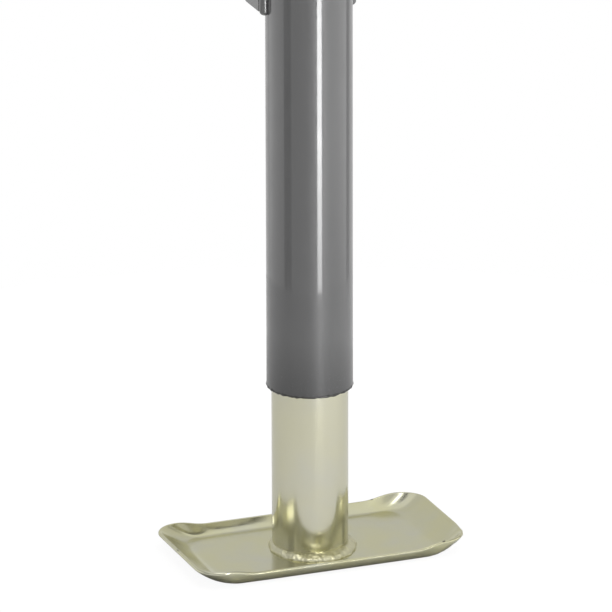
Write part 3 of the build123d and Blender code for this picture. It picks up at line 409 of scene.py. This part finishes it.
@dataclass(frozen=True)
class TurnedSteel:
    """Bare machined steel with the fine rings that a lathe leaves, and a trace of oil."""

    name: str
    colour: Colour
    stain: Colour
    rings: Triple = (0.04, 0.04, 1.0)  # scales that draw the noise out round an upright axis
    ring_scale: float = 2600.0
    ring_strength: float = 0.4
    ring_height: float = 0.00003
    stain_scale: float = 60.0
    stain_range: Pair = (0.48, 0.75)
    stain_share: float = 0.6
    roughness: Pair = (0.22, 0.40)

    def material(self) -> bpy.types.Material:
        """Builds the steel.

        Returns:
            The material.
        """
        web = ShaderWeb(self.name)
        rings = web.noise(web.stretched(self.rings), self.ring_scale, detail=2.0)
        clouds = web.noise(web.place, self.stain_scale, detail=4.0)
        stains = web.between(clouds, self.stain_range, (0.0, self.stain_share))
        return web.finish(
            Base_Color=web.blend(stains, self.colour, self.stain),
            Metallic=1.0,
            Roughness=web.between(rings, MOST_NOISE, self.roughness),
            Normal=web.bump(rings, self.ring_strength, self.ring_height),
        )


@dataclass(frozen=True)
class MouldedPlastic:
    """Matte moulded plastic with a fine pebbled skin."""

    name: str
    colour: Colour
    worn: Colour
    cloud_scale: float = 40.0
    pebble_scale: float = 1400.0
    pebble_strength: float = 0.5
    pebble_height: float = 0.00006
    roughness: Pair = (0.42, 0.60)

    def material(self) -> bpy.types.Material:
        """Builds the plastic.

        Returns:
            The material.
        """
        web = ShaderWeb(self.name)
        pebbles = web.noise(web.place, self.pebble_scale, detail=2.0)
        clouds = web.noise(web.place, self.cloud_scale, detail=4.0)
        return web.finish(
            Base_Color=web.blend(clouds, self.colour, self.worn),
            Roughness=web.between(pebbles, MOST_NOISE, self.roughness),
            Normal=web.bump(pebbles, self.pebble_strength, self.pebble_height),
        )


class Coat(Enum):
    """Every finish on the jack.

    The record's material slots are among the names, and the others are for single pieces.
    """

    GREY_PAINT = GlossPaint("gloss_grey_enamel", (0.097, 0.097, 0.098), (0.090, 0.090, 0.091))
    # darker than the grey enamel: a real bead of paint, whose dark colour is painted shade along the tube's
    # lower edge
    EDGE_PAINT = GlossPaint("rim_enamel_painted_shade", (0.050, 0.050, 0.046), (0.030, 0.030, 0.027))
    BEAD_PAINT = GlossPaint(
        "bead_enamel",
        (0.092, 0.092, 0.093),
        (0.080, 0.080, 0.081),
        peel_height=0.00004,
        skin_roughness=0.32,
    )
    YELLOW_ZINC = ZincPlate("pale_yellow_zinc", (0.64, 0.624, 0.45), (0.63, 0.615, 0.475), (0.60, 0.59, 0.50))
    DRAWN_ZINC = ZincPlate(
        "drawn_yellow_zinc",
        (0.622, 0.606, 0.448),
        (0.617, 0.602, 0.463),
        (0.603, 0.594, 0.492),
        roughness=(0.14, 0.195),
        grain=(1.0, 1.0, 0.03),
        grain_height=0.000002,
    )
    WELD_ZINC = ZincPlate(
        "welded_yellow_zinc",
        (0.61, 0.59, 0.39),
        (0.59, 0.57, 0.40),
        (0.55, 0.535, 0.39),
        roughness=(0.30, 0.44),
    )
    SHEET_ZINC = ZincPlate(
        "pressed_yellow_zinc",
        (0.582, 0.565, 0.36),
        (0.572, 0.56, 0.39),
        (0.555, 0.548, 0.43),
        roughness=(0.14, 0.22),
        cloud_scale=34.0,
        grain_height=0.000002,
        # painted shade: the dish's colour is darker where its faces point at the ground
        underside_share=0.45,
        nicks=(
            ((-0.0938, -0.001, 0.0124), 0.0013),
            ((0.0623, 0.0477, 0.0090), 0.0012),
            ((0.0751, -0.051, 0.0131), 0.0014),
        ),
    )
    BRIGHT_ZINC = ZincPlate("bright_zinc", (0.60, 0.61, 0.62), (0.62, 0.63, 0.65), (0.55, 0.56, 0.58))
    MACHINED_STEEL = TurnedSteel("machined_steel", (0.46, 0.46, 0.47), (0.30, 0.28, 0.25))
    BEARING_STEEL = TurnedSteel("ground_steel", (0.66, 0.66, 0.67), (0.5, 0.5, 0.5), roughness=(0.08, 0.16))
    SPRING_STEEL = TurnedSteel("spring_steel", (0.30, 0.30, 0.31), (0.20, 0.19, 0.18))
    BRASS = TurnedSteel("brass", (0.72, 0.55, 0.25), (0.45, 0.33, 0.15))
    BLACK_PLASTIC = MouldedPlastic("black_plastic", (0.018, 0.018, 0.019), (0.030, 0.030, 0.031))


class PaintShop:
    """Gives pieces their finishes, each built once."""

    def __init__(self) -> None:
        """Starts with no finish built."""
        self.ready: dict[Coat, bpy.types.Material] = {}

    def material(self, coat: Coat) -> bpy.types.Material:
        """Finds the material of a finish, and builds it the first time.

        Args:
            coat: The finish.

        Returns:
            Its material.
        """
        if coat not in self.ready:
            self.ready[coat] = coat.value.material()
        return self.ready[coat]

    def dress(self, piece: bpy.types.Object, coat: Coat) -> None:
        """Puts one finish all over a piece.

        Args:
            piece: The piece.
            coat: Its finish.
        """
        piece.data.materials.clear()
        piece.data.materials.append(self.material(coat))

    def dress_nodes(self, frame: dict) -> None:
        """Dresses every CAD node in the finish of its slot, and the leg in drawn zinc.

        Args:
            frame: The loaded frame.
        """
        for row in frame["record"]["subparts"]:
            self.dress(frame["nodes"][row["node"]], Coat[row["material_slot"].upper()])
        self.dress(frame["nodes"]["inner_tube"], Coat.DRAWN_ZINC)


class Pick(Enum):
    """What a selection is made of: its name in a bmesh, and its select mode."""

    VERTS = ("verts", "VERT")
    EDGES = ("edges", "EDGE")


class Bench:
    """Edit-mode work on one new mesh, as by hand."""

    def __init__(self, name: str) -> None:
        """Clears the selection before a primitive is added.

        Args:
            name: Name of the piece.
        """
        bpy.ops.object.select_all(action="DESELECT")
        self.name = name
        self.piece: bpy.types.Object | None = None

    def take(self) -> None:
        """Takes the primitive just added as the piece, and opens it for editing."""
        self.piece = bpy.context.object
        self.piece.name = self.name
        self.piece.data.name = self.name
        bpy.ops.object.mode_set(mode="EDIT")

    def pick(self, kind: Pick, test: Callable[[bmesh.types.BMVert | bmesh.types.BMEdge], bool]) -> None:
        """Selects vertices or edges, and nothing else.

        Args:
            kind: Which of the two.
            test: Tells whether one of them is selected.
        """
        sequence, mode = kind.value
        bpy.ops.mesh.select_mode(type=mode)
        bpy.ops.mesh.select_all(action="DESELECT")
        shape = bmesh.from_edit_mesh(self.piece.data)
        for item in getattr(shape, sequence):
            if test(item):
                item.select_set(True)
        shape.select_flush_mode()
        bmesh.update_edit_mesh(self.piece.data)

    def face_out(self) -> None:
        """Turns all faces to the same side, which is outwards where the shape is closed."""
        bpy.ops.mesh.select_all(action="SELECT")
        bpy.ops.mesh.normals_make_consistent(inside=False)

    def close(self, smooth_angle: float) -> bpy.types.Object:
        """Ends the editing, puts the piece's place into its mesh and smooths it.

        Args:
            smooth_angle: Edges flatter than this many degrees are shaded smooth.

        Returns:
            The finished piece.
        """
        bpy.ops.object.mode_set(mode="OBJECT")
        for modifier in list(self.piece.modifiers):
            bpy.ops.object.modifier_apply(modifier=modifier.name)
        bpy.ops.object.transform_apply(location=True, rotation=True, scale=True)
        bpy.ops.object.shade_smooth_by_angle(angle=math.radians(smooth_angle))
        return self.piece


def ripple(piece: bpy.types.Object, name: str, size: float, height: float) -> None:
    """Adds a displacement by a cloudy pattern, half of it outwards, for weld beads and sprayed edges.

    Args:
        piece: The piece that gets it.
        name: Name of the pattern.
        size: Size of its lumps in metres.
        height: Height of its lumps in metres.
    """
    lumps = bpy.data.textures.new(name, "CLOUDS")
    lumps.noise_scale = size
    lumps.noise_depth = 1
    displace = piece.modifiers.new(name, "DISPLACE")
    displace.texture = lumps
    displace.texture_coords = "LOCAL"
    displace.strength = height
    displace.mid_level = 0.5


def report(piece: bpy.types.Object) -> None:
    """Logs a finished piece.

    Args:
        piece: The piece.
    """
    LOG.info("%s: %d faces", piece.name, len(piece.data.polygons))


@dataclass
class DishFoot:
    """The stamped dish that the jack stands on, with the ring of weld that holds the leg."""

    blank: float = 2.0  # side of the square that it is made from, so that half of it is 1
    sheet: float = 0.0024
    floor_reach: Pair = (0.0765, 0.0412)  # half sizes of the flat floor
    floor_corner: float = 0.0130
    floor_margin: float = 0.0030
    corner_segments: int = 14
    side_cuts: int = 64
    rim_reach: Pair = (0.0950, 0.0496)  # half sizes of the rim
    side_height: float = 0.0094
    end_height: float = 0.0124
    near_lift: float = 0.0190  # how much higher the rim stands per metre towards the crank's side
    rings: int = 10
    wall_power: float = 1.50  # the wall steepens from the floor to the rim by this power
    rise_from: float = 0.0520  # how far out the rim begins to rise towards the ends
    rise_to: float = 0.0835  # and where it stands at the ends' height
    rise_steps: int = 12
    left_trim: float = 0.97  # the share of its length that the left end keeps
    trim_from: float = -0.050  # where the left end begins
    corner_cut: float = 0.00032  # how far each step moves the near right corner inwards
    corner_steps: tuple[float, ...] = (0.116, 0.119, 0.122, 0.125, 0.128, 0.131)  # x less y where each starts
    shift: Pair = (0.0000, -0.0019)  # the leg stands a little off the dish's middle
    edge_round: float = 0.0011
    edge_segments: int = 4
    edge_angle: float = 50.0
    dish_smooth: float = 40.0
    weld_sides: int = 200
    # radius, height and share of the shift of each ring, from inside the sheet to inside the tube
    weld_rings: tuple[Triple, ...] = (
        (0.0241, 0.0014, 0.0),
        (0.0289, 0.0014, 1.0),
        (0.0290, 0.0027, 1.0),
        (0.0283, 0.0040, 0.90),
        (0.0273, 0.0049, 0.62),
        (0.0263, 0.0055, 0.30),
        (0.0252, 0.0059, 0.0),
        (0.0241, 0.0059, 0.0),
    )
    weld_shift: Pair = (0.0008, -0.0026)  # the bead is widest at the front
    weld_stretch: float = 0.06  # how much longer the bead is from front to back than across
    weld_lumps: Pair = (0.0050, 0.0016)  # size and height
    weld_scales: Pair = (0.0020, 0.0006)
    weld_smooth: float = 60.0

    def dish(self) -> bpy.types.Object:
        """Presses the dish from a flat blank.

        Returns:
            The dish.
        """
        bench = Bench("foot_dish")
        bpy.ops.mesh.primitive_plane_add(size=self.blank, location=ORIGIN)
        bench.take()
        self.cut_floor(bench)
        for ring in range(1, self.rings + 1):
            self.draw_ring(bench, ring)
        self.trim(bench)
        bpy.ops.mesh.select_all(action="SELECT")
        bpy.ops.transform.translate(value=(*self.shift, self.sheet))
        self.thicken(bench)
        return bench.close(self.dish_smooth)

    def cut_floor(self, bench: Bench) -> None:
        """Brings the blank to the size of the floor, with round corners and a margin.

        Args:
            bench: The bench with the blank.
        """
        bpy.ops.transform.resize(value=(*self.floor_reach, 1.0))
        bpy.ops.mesh.select_all(action="SELECT")
        bpy.ops.mesh.bevel(
            offset=self.floor_corner,
            offset_type="OFFSET",
            segments=self.corner_segments,
            affect="VERTICES",
        )
        bench.pick(Pick.EDGES, lambda edge: edge.calc_length() > self.floor_corner)
        bpy.ops.mesh.subdivide(number_cuts=self.side_cuts)
        bpy.ops.mesh.select_all(action="SELECT")
        bpy.ops.mesh.inset(thickness=self.floor_margin)

    def draw_ring(self, bench: Bench, ring: int) -> None:
        """Draws the wall up by one ring, higher towards its ends.

        Args:
            bench: The bench with the dish.
            ring: Number of the ring, from 1 at the floor.
        """
        before, after = (ring - 1) / self.rings, ring / self.rings
        climb = after**self.wall_power - before**self.wall_power
        reach = [
            [floor + (rim - floor) * share for share in (before, after)]
            for floor, rim in zip(self.floor_reach, self.rim_reach)
        ]
        bench.pick(Pick.EDGES, lambda edge: edge.is_boundary)
        bpy.ops.mesh.extrude_edges_move()
        stretch = [wide / narrow for narrow, wide in reach]
        bpy.ops.transform.resize(value=(*stretch, 1.0), center_override=ORIGIN)
        bpy.ops.transform.translate(value=(0.0, 0.0, (self.side_height - self.sheet) * climb))
        drawn = reach[0][1] / self.rim_reach[0]
        rise = self.end_height - self.side_height
        for step in range(self.rise_steps):
            start = (self.rise_from + (self.rise_to - self.rise_from) * step / self.rise_steps) * drawn
            share = (1.0 - math.cos(2.0 * math.pi * (step + 0.5) / self.rise_steps)) / self.rise_steps
            bench.pick(Pick.VERTS, lambda vert: vert.is_boundary and abs(vert.co.x) > start)
            bpy.ops.transform.translate(value=(0.0, 0.0, rise * share * climb))
        bench.pick(Pick.VERTS, lambda vert: vert.is_boundary)
        bpy.ops.transform.rotate(value=self.near_lift * climb, orient_axis="X", center_override=ORIGIN)

    def trim(self, bench: Bench) -> None:
        """Draws in the left end and the near right corner.

        Args:
            bench: The bench with the dish.
        """
        bench.pick(Pick.VERTS, lambda vert: vert.co.x < self.trim_from)
        bpy.ops.transform.resize(value=(self.left_trim, 1.0, 1.0), center_override=(self.trim_from, 0.0, 0.0))
        for reach in self.corner_steps:
            bench.pick(Pick.VERTS, lambda vert: vert.co.x - vert.co.y > reach)
            bpy.ops.transform.translate(value=(-self.corner_cut, self.corner_cut, 0.0))

    def thicken(self, bench: Bench) -> None:
        """Gives the dish its sheet, downwards from its upper side, and rounds the edges.

        Args:
            bench: The bench with the dish.
        """
        bench.face_out()
        if bmesh.from_edit_mesh(bench.piece.data).faces[0].normal.z < 0.0:
            bpy.ops.mesh.flip_normals()
        wall = bench.piece.modifiers.new("sheet", "SOLIDIFY")
        wall.thickness = self.sheet
        wall.offset = -1.0
        wall.use_even_offset = True
        edge = bench.piece.modifiers.new("worn_edge", "BEVEL")
        edge.width = self.edge_round
        edge.segments = self.edge_segments
        edge.limit_method = "ANGLE"
        edge.angle_limit = math.radians(self.edge_angle)

    def weld(self) -> bpy.types.Object:
        """Lays the weld round the foot of the leg.

        Returns:
            The weld.
        """
        bench = Bench("foot_weld")
        wide, high, pull = self.weld_rings[0]
        bpy.ops.mesh.primitive_circle_add(
            vertices=self.weld_sides, radius=wide, fill_type="NOTHING", location=(0.0, 0.0, high)
        )
        bench.take()
        bpy.ops.mesh.select_all(action="SELECT")
        for next_wide, next_high, next_pull in self.weld_rings[1:]:
            centre = (self.weld_shift[0] * pull, self.weld_shift[1] * pull, high)
            growth = next_wide / wide
            stretch = (1.0 + self.weld_stretch * next_pull) / (1.0 + self.weld_stretch * pull)
            step = [side * (next_pull - pull) for side in self.weld_shift]
            bpy.ops.mesh.extrude_edges_move()
            bpy.ops.transform.resize(value=(growth, growth * stretch, 1.0), center_override=centre)
            bpy.ops.transform.translate(value=(*step, next_high - high))
            wide, high, pull = next_wide, next_high, next_pull
        bench.pick(Pick.EDGES, lambda edge: edge.is_boundary)
        bpy.ops.mesh.bridge_edge_loops()
        bench.face_out()
        finer = bench.piece.modifiers.new("finer", "SUBSURF")
        finer.levels = finer.render_levels = 1
        ripple(bench.piece, "weld_lumps", *self.weld_lumps)
        ripple(bench.piece, "weld_scales", *self.weld_scales)
        return bench.close(self.weld_smooth)

    def build(self, shop: PaintShop) -> None:
        """Puts the dish and its weld in place of the foot's solid.

        Args:
            shop: Where they get their finishes.
        """
        for piece, coat in ((self.dish(), Coat.SHEET_ZINC), (self.weld(), Coat.WELD_ZINC)):
            shop.dress(piece, coat)
            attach(piece, "leg")
            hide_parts("foot_plate")
            report(piece)


@dataclass
class TubeRim:
    """The thick, ragged edge that the paint leaves round the outer tube's lower end, coloured darker than the
    tube as painted shade along that edge.
    """

    radius: float = 0.0280
    bead: float = 0.0009
    middle: float = 0.1168  # the ring's height
    sides: int = 240
    bead_sides: int = 12
    drips: Pair = (0.0030, 0.0011)  # size and height
    smooth: float = 60.0

    def build(self, shop: PaintShop) -> None:
        """Runs the ring of paint round the tube's end.

        Args:
            shop: Where it gets its finish.
        """
        bench = Bench("rim_paint")
        bpy.ops.mesh.primitive_torus_add(
            major_radius=self.radius,
            minor_radius=self.bead,
            major_segments=self.sides,
            minor_segments=self.bead_sides,
            location=(0.0, 0.0, self.middle),
        )
        bench.take()
        ripple(bench.piece, "paint_drips", *self.drips)
        ring = bench.close(self.smooth)
        shop.dress(ring, Coat.EDGE_PAINT)
        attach(ring, "jack")
        report(ring)


@dataclass
class WeldSeams:
    """The rippled beads along the saddle's legs and round the mount pipe, over the CAD ones."""

    saddle_place: Pair = (0.0302, 0.0022)  # x and y of the right bead
    saddle_reach: Pair = (0.3774, 0.4826)  # heights of the bead's ends
    saddle_bead: float = 0.0033
    saddle_sides: int = 24
    saddle_rings: int = 13
    scale_pitch: float = 0.0024
    scale_pinch: float = 0.93  # the bead narrows by this between its scales
    cuts_per_scale: int = 3
    lump_size: float = 0.0060
    lump_height: float = 0.0010
    pipe_axis_height: float = 0.430
    pipe_weld_y: float = 0.0505
    pipe_weld_radius: float = 0.0246
    pipe_bead: float = 0.0040
    pipe_sides: int = 200
    pipe_bead_sides: int = 20
    pipe_scale_share: float = 0.6  # height of the pipe's scales, of the lumps'
    smooth: float = 60.0

    def saddle_seam(self) -> bpy.types.Object:
        """Lays one upright bead, drawn out from a ball of weld metal.

        Returns:
            The bead on the jack's right.
        """
        bench = Bench("saddle_seam_right")
        across, along = self.saddle_place
        low, high = self.saddle_reach
        middle, half = (low + high) / 2, (high - low) / 2
        pitch, cuts = self.scale_pitch, self.cuts_per_scale
        bpy.ops.mesh.primitive_uv_sphere_add(
            segments=self.saddle_sides,
            ring_count=self.saddle_rings,
            radius=self.saddle_bead,
            location=(across, along, middle),
        )
        bench.take()
        for side in (-1, 1):
            bench.pick(Pick.VERTS, lambda vert: vert.co.z * side > 0.0)
            bpy.ops.transform.translate(value=(0.0, 0.0, side * half))
        bench.pick(Pick.EDGES, lambda edge: edge.calc_length() > self.saddle_bead * 2)
        bpy.ops.mesh.subdivide(number_cuts=int((high - low) / pitch) * cuts)
        bench.pick(
            Pick.VERTS,
            lambda vert: abs(vert.co.z) < half and round((vert.co.z + half) / pitch * cuts) % cuts == 0,
        )
        pinch = (self.scale_pinch, self.scale_pinch, 1.0)
        bpy.ops.transform.resize(value=pinch, center_override=(across, along, middle))
        ripple(bench.piece, "saddle_lumps", self.lump_size, self.lump_height)
        return bench.close(self.smooth)

    def mirrored(self, right: bpy.types.Object) -> bpy.types.Object:
        """Copies the right bead to the other leg of the saddle.

        Args:
            right: The bead on the jack's right.

        Returns:
            The bead on its left.
        """
        left = right.copy()
        left.data = right.data.copy()
        left.name = left.data.name = "saddle_seam_left"
        bpy.context.scene.collection.objects.link(left)
        bpy.ops.object.select_all(action="DESELECT")
        left.select_set(True)
        bpy.context.view_layer.objects.active = left
        bpy.ops.object.mode_set(mode="EDIT")
        bpy.ops.mesh.select_all(action="SELECT")
        bpy.ops.transform.mirror(constraint_axis=(True, False, False), center_override=ORIGIN)
        bpy.ops.mesh.flip_normals()
        bpy.ops.object.mode_set(mode="OBJECT")
        return left

    def pipe_seam(self) -> bpy.types.Object:
        """Lays the ring of weld between the flange and the mount pipe.

        Returns:
            The ring.
        """
        bench = Bench("pipe_seam")
        bpy.ops.mesh.primitive_torus_add(
            major_radius=self.pipe_weld_radius,
            minor_radius=self.pipe_bead,
            major_segments=self.pipe_sides,
            minor_segments=self.pipe_bead_sides,
            location=(0.0, self.pipe_weld_y, self.pipe_axis_height),
            rotation=(math.pi / 2, 0.0, 0.0),
        )
        bench.take()
        ripple(bench.piece, "pipe_lumps", self.lump_size, self.lump_height)
        ripple(bench.piece, "pipe_scales", self.scale_pitch, self.lump_height * self.pipe_scale_share)
        return bench.close(self.smooth)

    def build(self, shop: PaintShop) -> None:
        """Lays both saddle beads and the ring round the pipe.

        Args:
            shop: Where they get their finish.
        """
        right = self.saddle_seam()
        left = self.mirrored(right)
        for seam, body in ((right, "jack"), (left, "jack"), (self.pipe_seam(), "mount")):
            shop.dress(seam, Coat.BEAD_PAINT)
            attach(seam, body)
            report(seam)


@dataclass(frozen=True)
class Softbox:
    """A rectangular lamp that stands facing the jack.

    Its bearing is counted from the camera's, in degrees to the picture's right.
    """

    name: str
    bearing: float
    distance: float
    width: float
    height: float
    middle: float  # height of its middle
    radiance: float


@dataclass(frozen=True)
class ReflectorCard:
    """An upright card that only shows in reflections, from one bearing to another.

    It has three levels: at its lower edge, beside the jack's lower half, and higher up.
    """

    name: str
    first: float
    last: float
    low: float
    middle: float
    high: float


@dataclass
class Studio:
    """The camera at the picture's viewing angle, a white floor, lamps and reflector cards."""

    picture_side: float = 612.0
    sole_across: float = 310.169  # where the middle of the sole shows, in pixels from the left
    sole_down: float = 547.714  # and from the top
    pixels_per_metre: float = 1505.0
    azimuth: float = math.radians(-20.805)
    elevation: float = math.radians(19.744)
    roll: float = math.radians(-0.145)
    camera_distance: float = 5.6
    sensor: float = 36.0
    clip: Pair = (0.1, 50.0)
    floor_radius: float = 0.56
    floor_sides: int = 128
    floor_drop: float = 0.0005  # how far the floor lies below the sole
    paper: Colour = (0.85, 0.85, 0.85)
    paper_share: float = 0.12  # how much of the floor's own shading shows on its white
    floor_glow: float = 0.06  # added to the white that the camera sees through the floor
    card_radius: float = 1.0
    card_sides: int = 180
    card_foot: float = -0.17
    card_head: float = 1.43
    card_stops: Triple = (-0.03, 0.29, 0.34)  # heights where a card's levels change
    overhead_spot: Triple = (-0.12, -0.20, 1.2)
    overhead_radius: float = 0.30
    overhead_sides: int = 64
    overhead_level: float = 3.2
    aim_height: float = 0.425  # lamps that stand higher than this face the jack's axis here
    watts_per_radiance: float = 4.0  # for each square metre of a lamp
    fill: float = 0.55  # the world's light on the jack, where 1 is white
    boxes: tuple[Softbox, ...] = (
        Softbox("right_lamp", 70.0, 0.55, 0.70, 0.80, 0.45, 0.82),
        Softbox("top_lamp", 10.0, 0.35, 1.10, 1.10, 1.45, 1.9),
    )
    cards: tuple[ReflectorCard, ...] = (
        ReflectorCard("front_card", -44.0, 18.0, 0.85, 0.85, 0.62),
        ReflectorCard("strip_card", 20.0, 32.0, 7.0, 17.0, 0.65),
        ReflectorCard("right_card", 36.0, 112.0, 1.05, 1.7, 0.70),
        ReflectorCard("right_gap", 112.0, 128.0, 0.4, 0.4, 0.5),
        ReflectorCard("back_card", 128.0, 232.0, 0.80, 0.80, 0.75),
        ReflectorCard("left_card", 232.0, 290.0, 1.0, 1.25, 0.60),
        ReflectorCard("dark_gap", 290.0, 312.0, 0.35, 0.35, 0.5),
    )

    def axes(self) -> tuple[Vector, Vector, Vector]:
        """Works out how the camera is turned.

        Returns:
            The camera's right, up and backward directions.
        """
        level, rise = math.cos(self.elevation), math.sin(self.elevation)
        right = Vector((math.cos(self.azimuth), math.sin(self.azimuth), 0.0))
        back = Vector((math.sin(self.azimuth) * level, -math.cos(self.azimuth) * level, rise))
        up = back.cross(right)
        kept, turned = math.cos(self.roll), math.sin(self.roll)
        return right * kept + up * turned, up * kept - right * turned, back

    def place_camera(self) -> None:
        """Sets the camera so that the sole's middle falls on its place in the picture."""
        right, up, back = self.axes()
        focal = self.pixels_per_metre * self.camera_distance
        across = (self.sole_across - self.picture_side / 2) / focal
        down = (self.sole_down - self.picture_side / 2) / focal
        spot = (back - right * across + up * down) * self.camera_distance
        lens = bpy.data.cameras.new("camera")
        lens.sensor_width = self.sensor
        lens.lens = focal / self.picture_side * self.sensor
        lens.clip_start, lens.clip_end = self.clip
        camera = bpy.data.objects.new("camera", lens)
        turn = Matrix((right, up, back)).transposed().to_4x4()
        camera.matrix_world = Matrix.Translation(spot) @ turn
        bpy.context.scene.collection.objects.link(camera)
        bpy.context.scene.camera = camera

    def towards(self, bearing: float) -> Vector:
        """Turns a bearing into a direction.

        Args:
            bearing: Degrees from the camera's own, to the picture's right.

        Returns:
            The level direction outwards from the jack.
        """
        turn = self.azimuth + math.radians(bearing)
        return Vector((math.sin(turn), -math.cos(turn), 0.0))

    def hang_lamps(self) -> None:
        """Adds the softboxes, which light the jack but show neither to the camera nor in reflections."""
        for box in self.boxes:
            lamp = bpy.data.lights.new(box.name, "AREA")
            lamp.shape = "RECTANGLE"
            lamp.size, lamp.size_y = box.width, box.height
            lamp.energy = box.radiance * self.watts_per_radiance * box.width * box.height
            stand = bpy.data.objects.new(box.name, lamp)
            spot = self.towards(box.bearing) * box.distance + Vector((0.0, 0.0, box.middle))
            aim = spot - Vector((0.0, 0.0, min(box.middle, self.aim_height)))
            stand.matrix_world = Matrix.Translation(spot) @ aim.to_track_quat("Z", "Y").to_matrix().to_4x4()
            stand.visible_camera = False
            stand.visible_glossy = False
            bpy.context.scene.collection.objects.link(stand)

    def card_material(self, name: str, low: float, middle: float, high: float) -> bpy.types.Material:
        """Makes a glowing card material with three levels, where 1 is white.

        Args:
            name: Name of the material.
            low: Level at the card's lower edge.
            middle: Level beside the jack's lower half.
            high: Level above that.

        Returns:
            The material.
        """
        material = bpy.data.materials.new(name)
        web = NodeWeb(material, empty=True)
        height = web.height(web.node("ShaderNodeTexCoord").outputs["Object"])
        rise, turn, end = self.card_stops
        lower = web.between(height, (self.card_foot, rise), (low, middle))
        upper = web.between(height, (turn, end), (0.0, high - middle))
        level = web.node("ShaderNodeMath", {0: lower, 1: upper}, operation="ADD").outputs["Value"]
        glow = web.node("ShaderNodeEmission", {"Color": WHITE, "Strength": level})
        web.node("ShaderNodeOutputMaterial", {"Surface": glow.outputs["Emission"]})
        return material

    def glossy_only(self, card: bpy.types.Object) -> None:
        """Lets a card show in reflections and nowhere else.

        Args:
            card: The card.
        """
        card.visible_camera = False
        card.visible_diffuse = False
        card.visible_shadow = False

    def stand_card(self, card: ReflectorCard) -> None:
        """Stands one reflector card beside the floor, cut from a ring round the jack.

        Args:
            card: The card's place and levels.
        """
        bpy.ops.object.select_all(action="DESELECT")
        bpy.ops.mesh.primitive_cylinder_add(
            vertices=self.card_sides,
            radius=self.card_radius,
            depth=self.card_head - self.card_foot,
            end_fill_type="NOTHING",
            location=(0.0, 0.0, (self.card_head + self.card_foot) / 2),
        )
        wall = bpy.context.object
        wall.name = card.name
        bpy.ops.object.mode_set(mode="EDIT")
        bpy.ops.mesh.select_all(action="DESELECT")
        bpy.ops.object.mode_set(mode="OBJECT")
        middle = self.towards((card.first + card.last) / 2)
        reach = math.radians(card.last - card.first) / 2
        for face in wall.data.polygons:
            outwards = Vector((face.center.x, face.center.y, 0.0))
            face.select = outwards.angle(middle) > reach
        bpy.ops.object.mode_set(mode="EDIT")
        bpy.ops.mesh.delete(type="FACE")
        bpy.ops.object.mode_set(mode="OBJECT")
        bpy.ops.object.transform_apply(location=True, rotation=True, scale=True)
        wall.data.materials.append(self.card_material(card.name, card.low, card.middle, card.high))
        self.glossy_only(wall)

    def hang_overhead_card(self) -> None:
        """Hangs a bright card above the jack, seen by reflections only."""
        bpy.ops.object.select_all(action="DESELECT")
        bpy.ops.mesh.primitive_circle_add(
            vertices=self.overhead_sides,
            radius=self.overhead_radius,
            fill_type="NGON",
            location=self.overhead_spot,
        )
        card = bpy.context.object
        card.name = "overhead_card"
        level = self.overhead_level
        card.data.materials.append(self.card_material(card.name, level, level, level))
        self.glossy_only(card)

    def floor_material(self) -> bpy.types.Material:
        """Makes the floor's paper, which the camera sees through for the most part.

        Returns:
            The material.
        """
        material = bpy.data.materials.new("white_floor")
        web = NodeWeb(material, empty=True)
        camera_ray = web.node("ShaderNodeLightPath").outputs["Is Camera Ray"]
        seen = web.node("ShaderNodeMath", {0: camera_ray, 1: 1.0 - self.paper_share}, operation="MULTIPLY")
        paper = web.node("ShaderNodeBsdfDiffuse", {"Color": opaque(self.paper)}).outputs["BSDF"]
        clear = web.node("ShaderNodeBsdfTransparent").outputs["BSDF"]
        glow = web.node("ShaderNodeEmission", {"Strength": self.floor_glow}).outputs["Emission"]
        lit = web.node("ShaderNodeAddShader", {0: clear, 1: glow}).outputs["Shader"]
        pick = web.node("ShaderNodeMixShader", {"Fac": seen.outputs["Value"], 1: paper, 2: lit})
        web.node("ShaderNodeOutputMaterial", {"Surface": pick.outputs["Shader"]})
        return material

    def lay_floor(self) -> None:
        """Lays the white floor, which keeps the shadow and lets the camera see a leg that is below it."""
        bpy.ops.object.select_all(action="DESELECT")
        bpy.ops.mesh.primitive_circle_add(
            vertices=self.floor_sides, radius=self.floor_radius, fill_type="NGON"
        )
        floor = bpy.context.object
        floor.name = "floor"
        floor.location.z = -self.floor_drop
        floor.data.materials.append(self.floor_material())

    def light_world(self) -> None:
        """Makes the world a plain fill light that shows white behind the jack and in reflections."""
        world = bpy.data.worlds.new("studio")
        web = NodeWeb(world, empty=True)
        rays = web.node("ShaderNodeLightPath").outputs
        seen = rays["Is Camera Ray"]
        for ray in ("Is Glossy Ray", "Is Transmission Ray"):
            seen = web.node("ShaderNodeMath", {0: seen, 1: rays[ray]}, operation="MAXIMUM").outputs["Value"]
        dim = web.node("ShaderNodeBackground", {"Color": WHITE, "Strength": self.fill}).outputs["Background"]
        white = web.node("ShaderNodeBackground", {"Color": WHITE}).outputs["Background"]
        pick = web.node("ShaderNodeMixShader", {"Fac": seen, 1: dim, 2: white})
        web.node("ShaderNodeOutputWorld", {"Surface": pick.outputs["Shader"]})
        bpy.context.scene.world = world

    def set_up(self) -> None:
        """Builds the whole studio."""
        self.place_camera()
        self.hang_lamps()
        for card in self.cards:
            self.stand_card(card)
        self.hang_overhead_card()
        self.lay_floor()
        self.light_world()
        bpy.context.scene.view_settings.view_transform = "Standard"


def main() -> None:
    """Loads the frame, builds the studio and dresses the jack."""
    logging.basicConfig(level=logging.INFO, format="%(name)s: %(message)s")
    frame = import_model()
    Studio().set_up()
    LOG.info("studio stands")
    shop = PaintShop()
    shop.dress_nodes(frame)
    LOG.info("%d nodes dressed", len(frame["nodes"]))
    DishFoot().build(shop)
    TubeRim().build(shop)
    WeldSeams().build(shop)


if __name__ == "__main__":
    main()
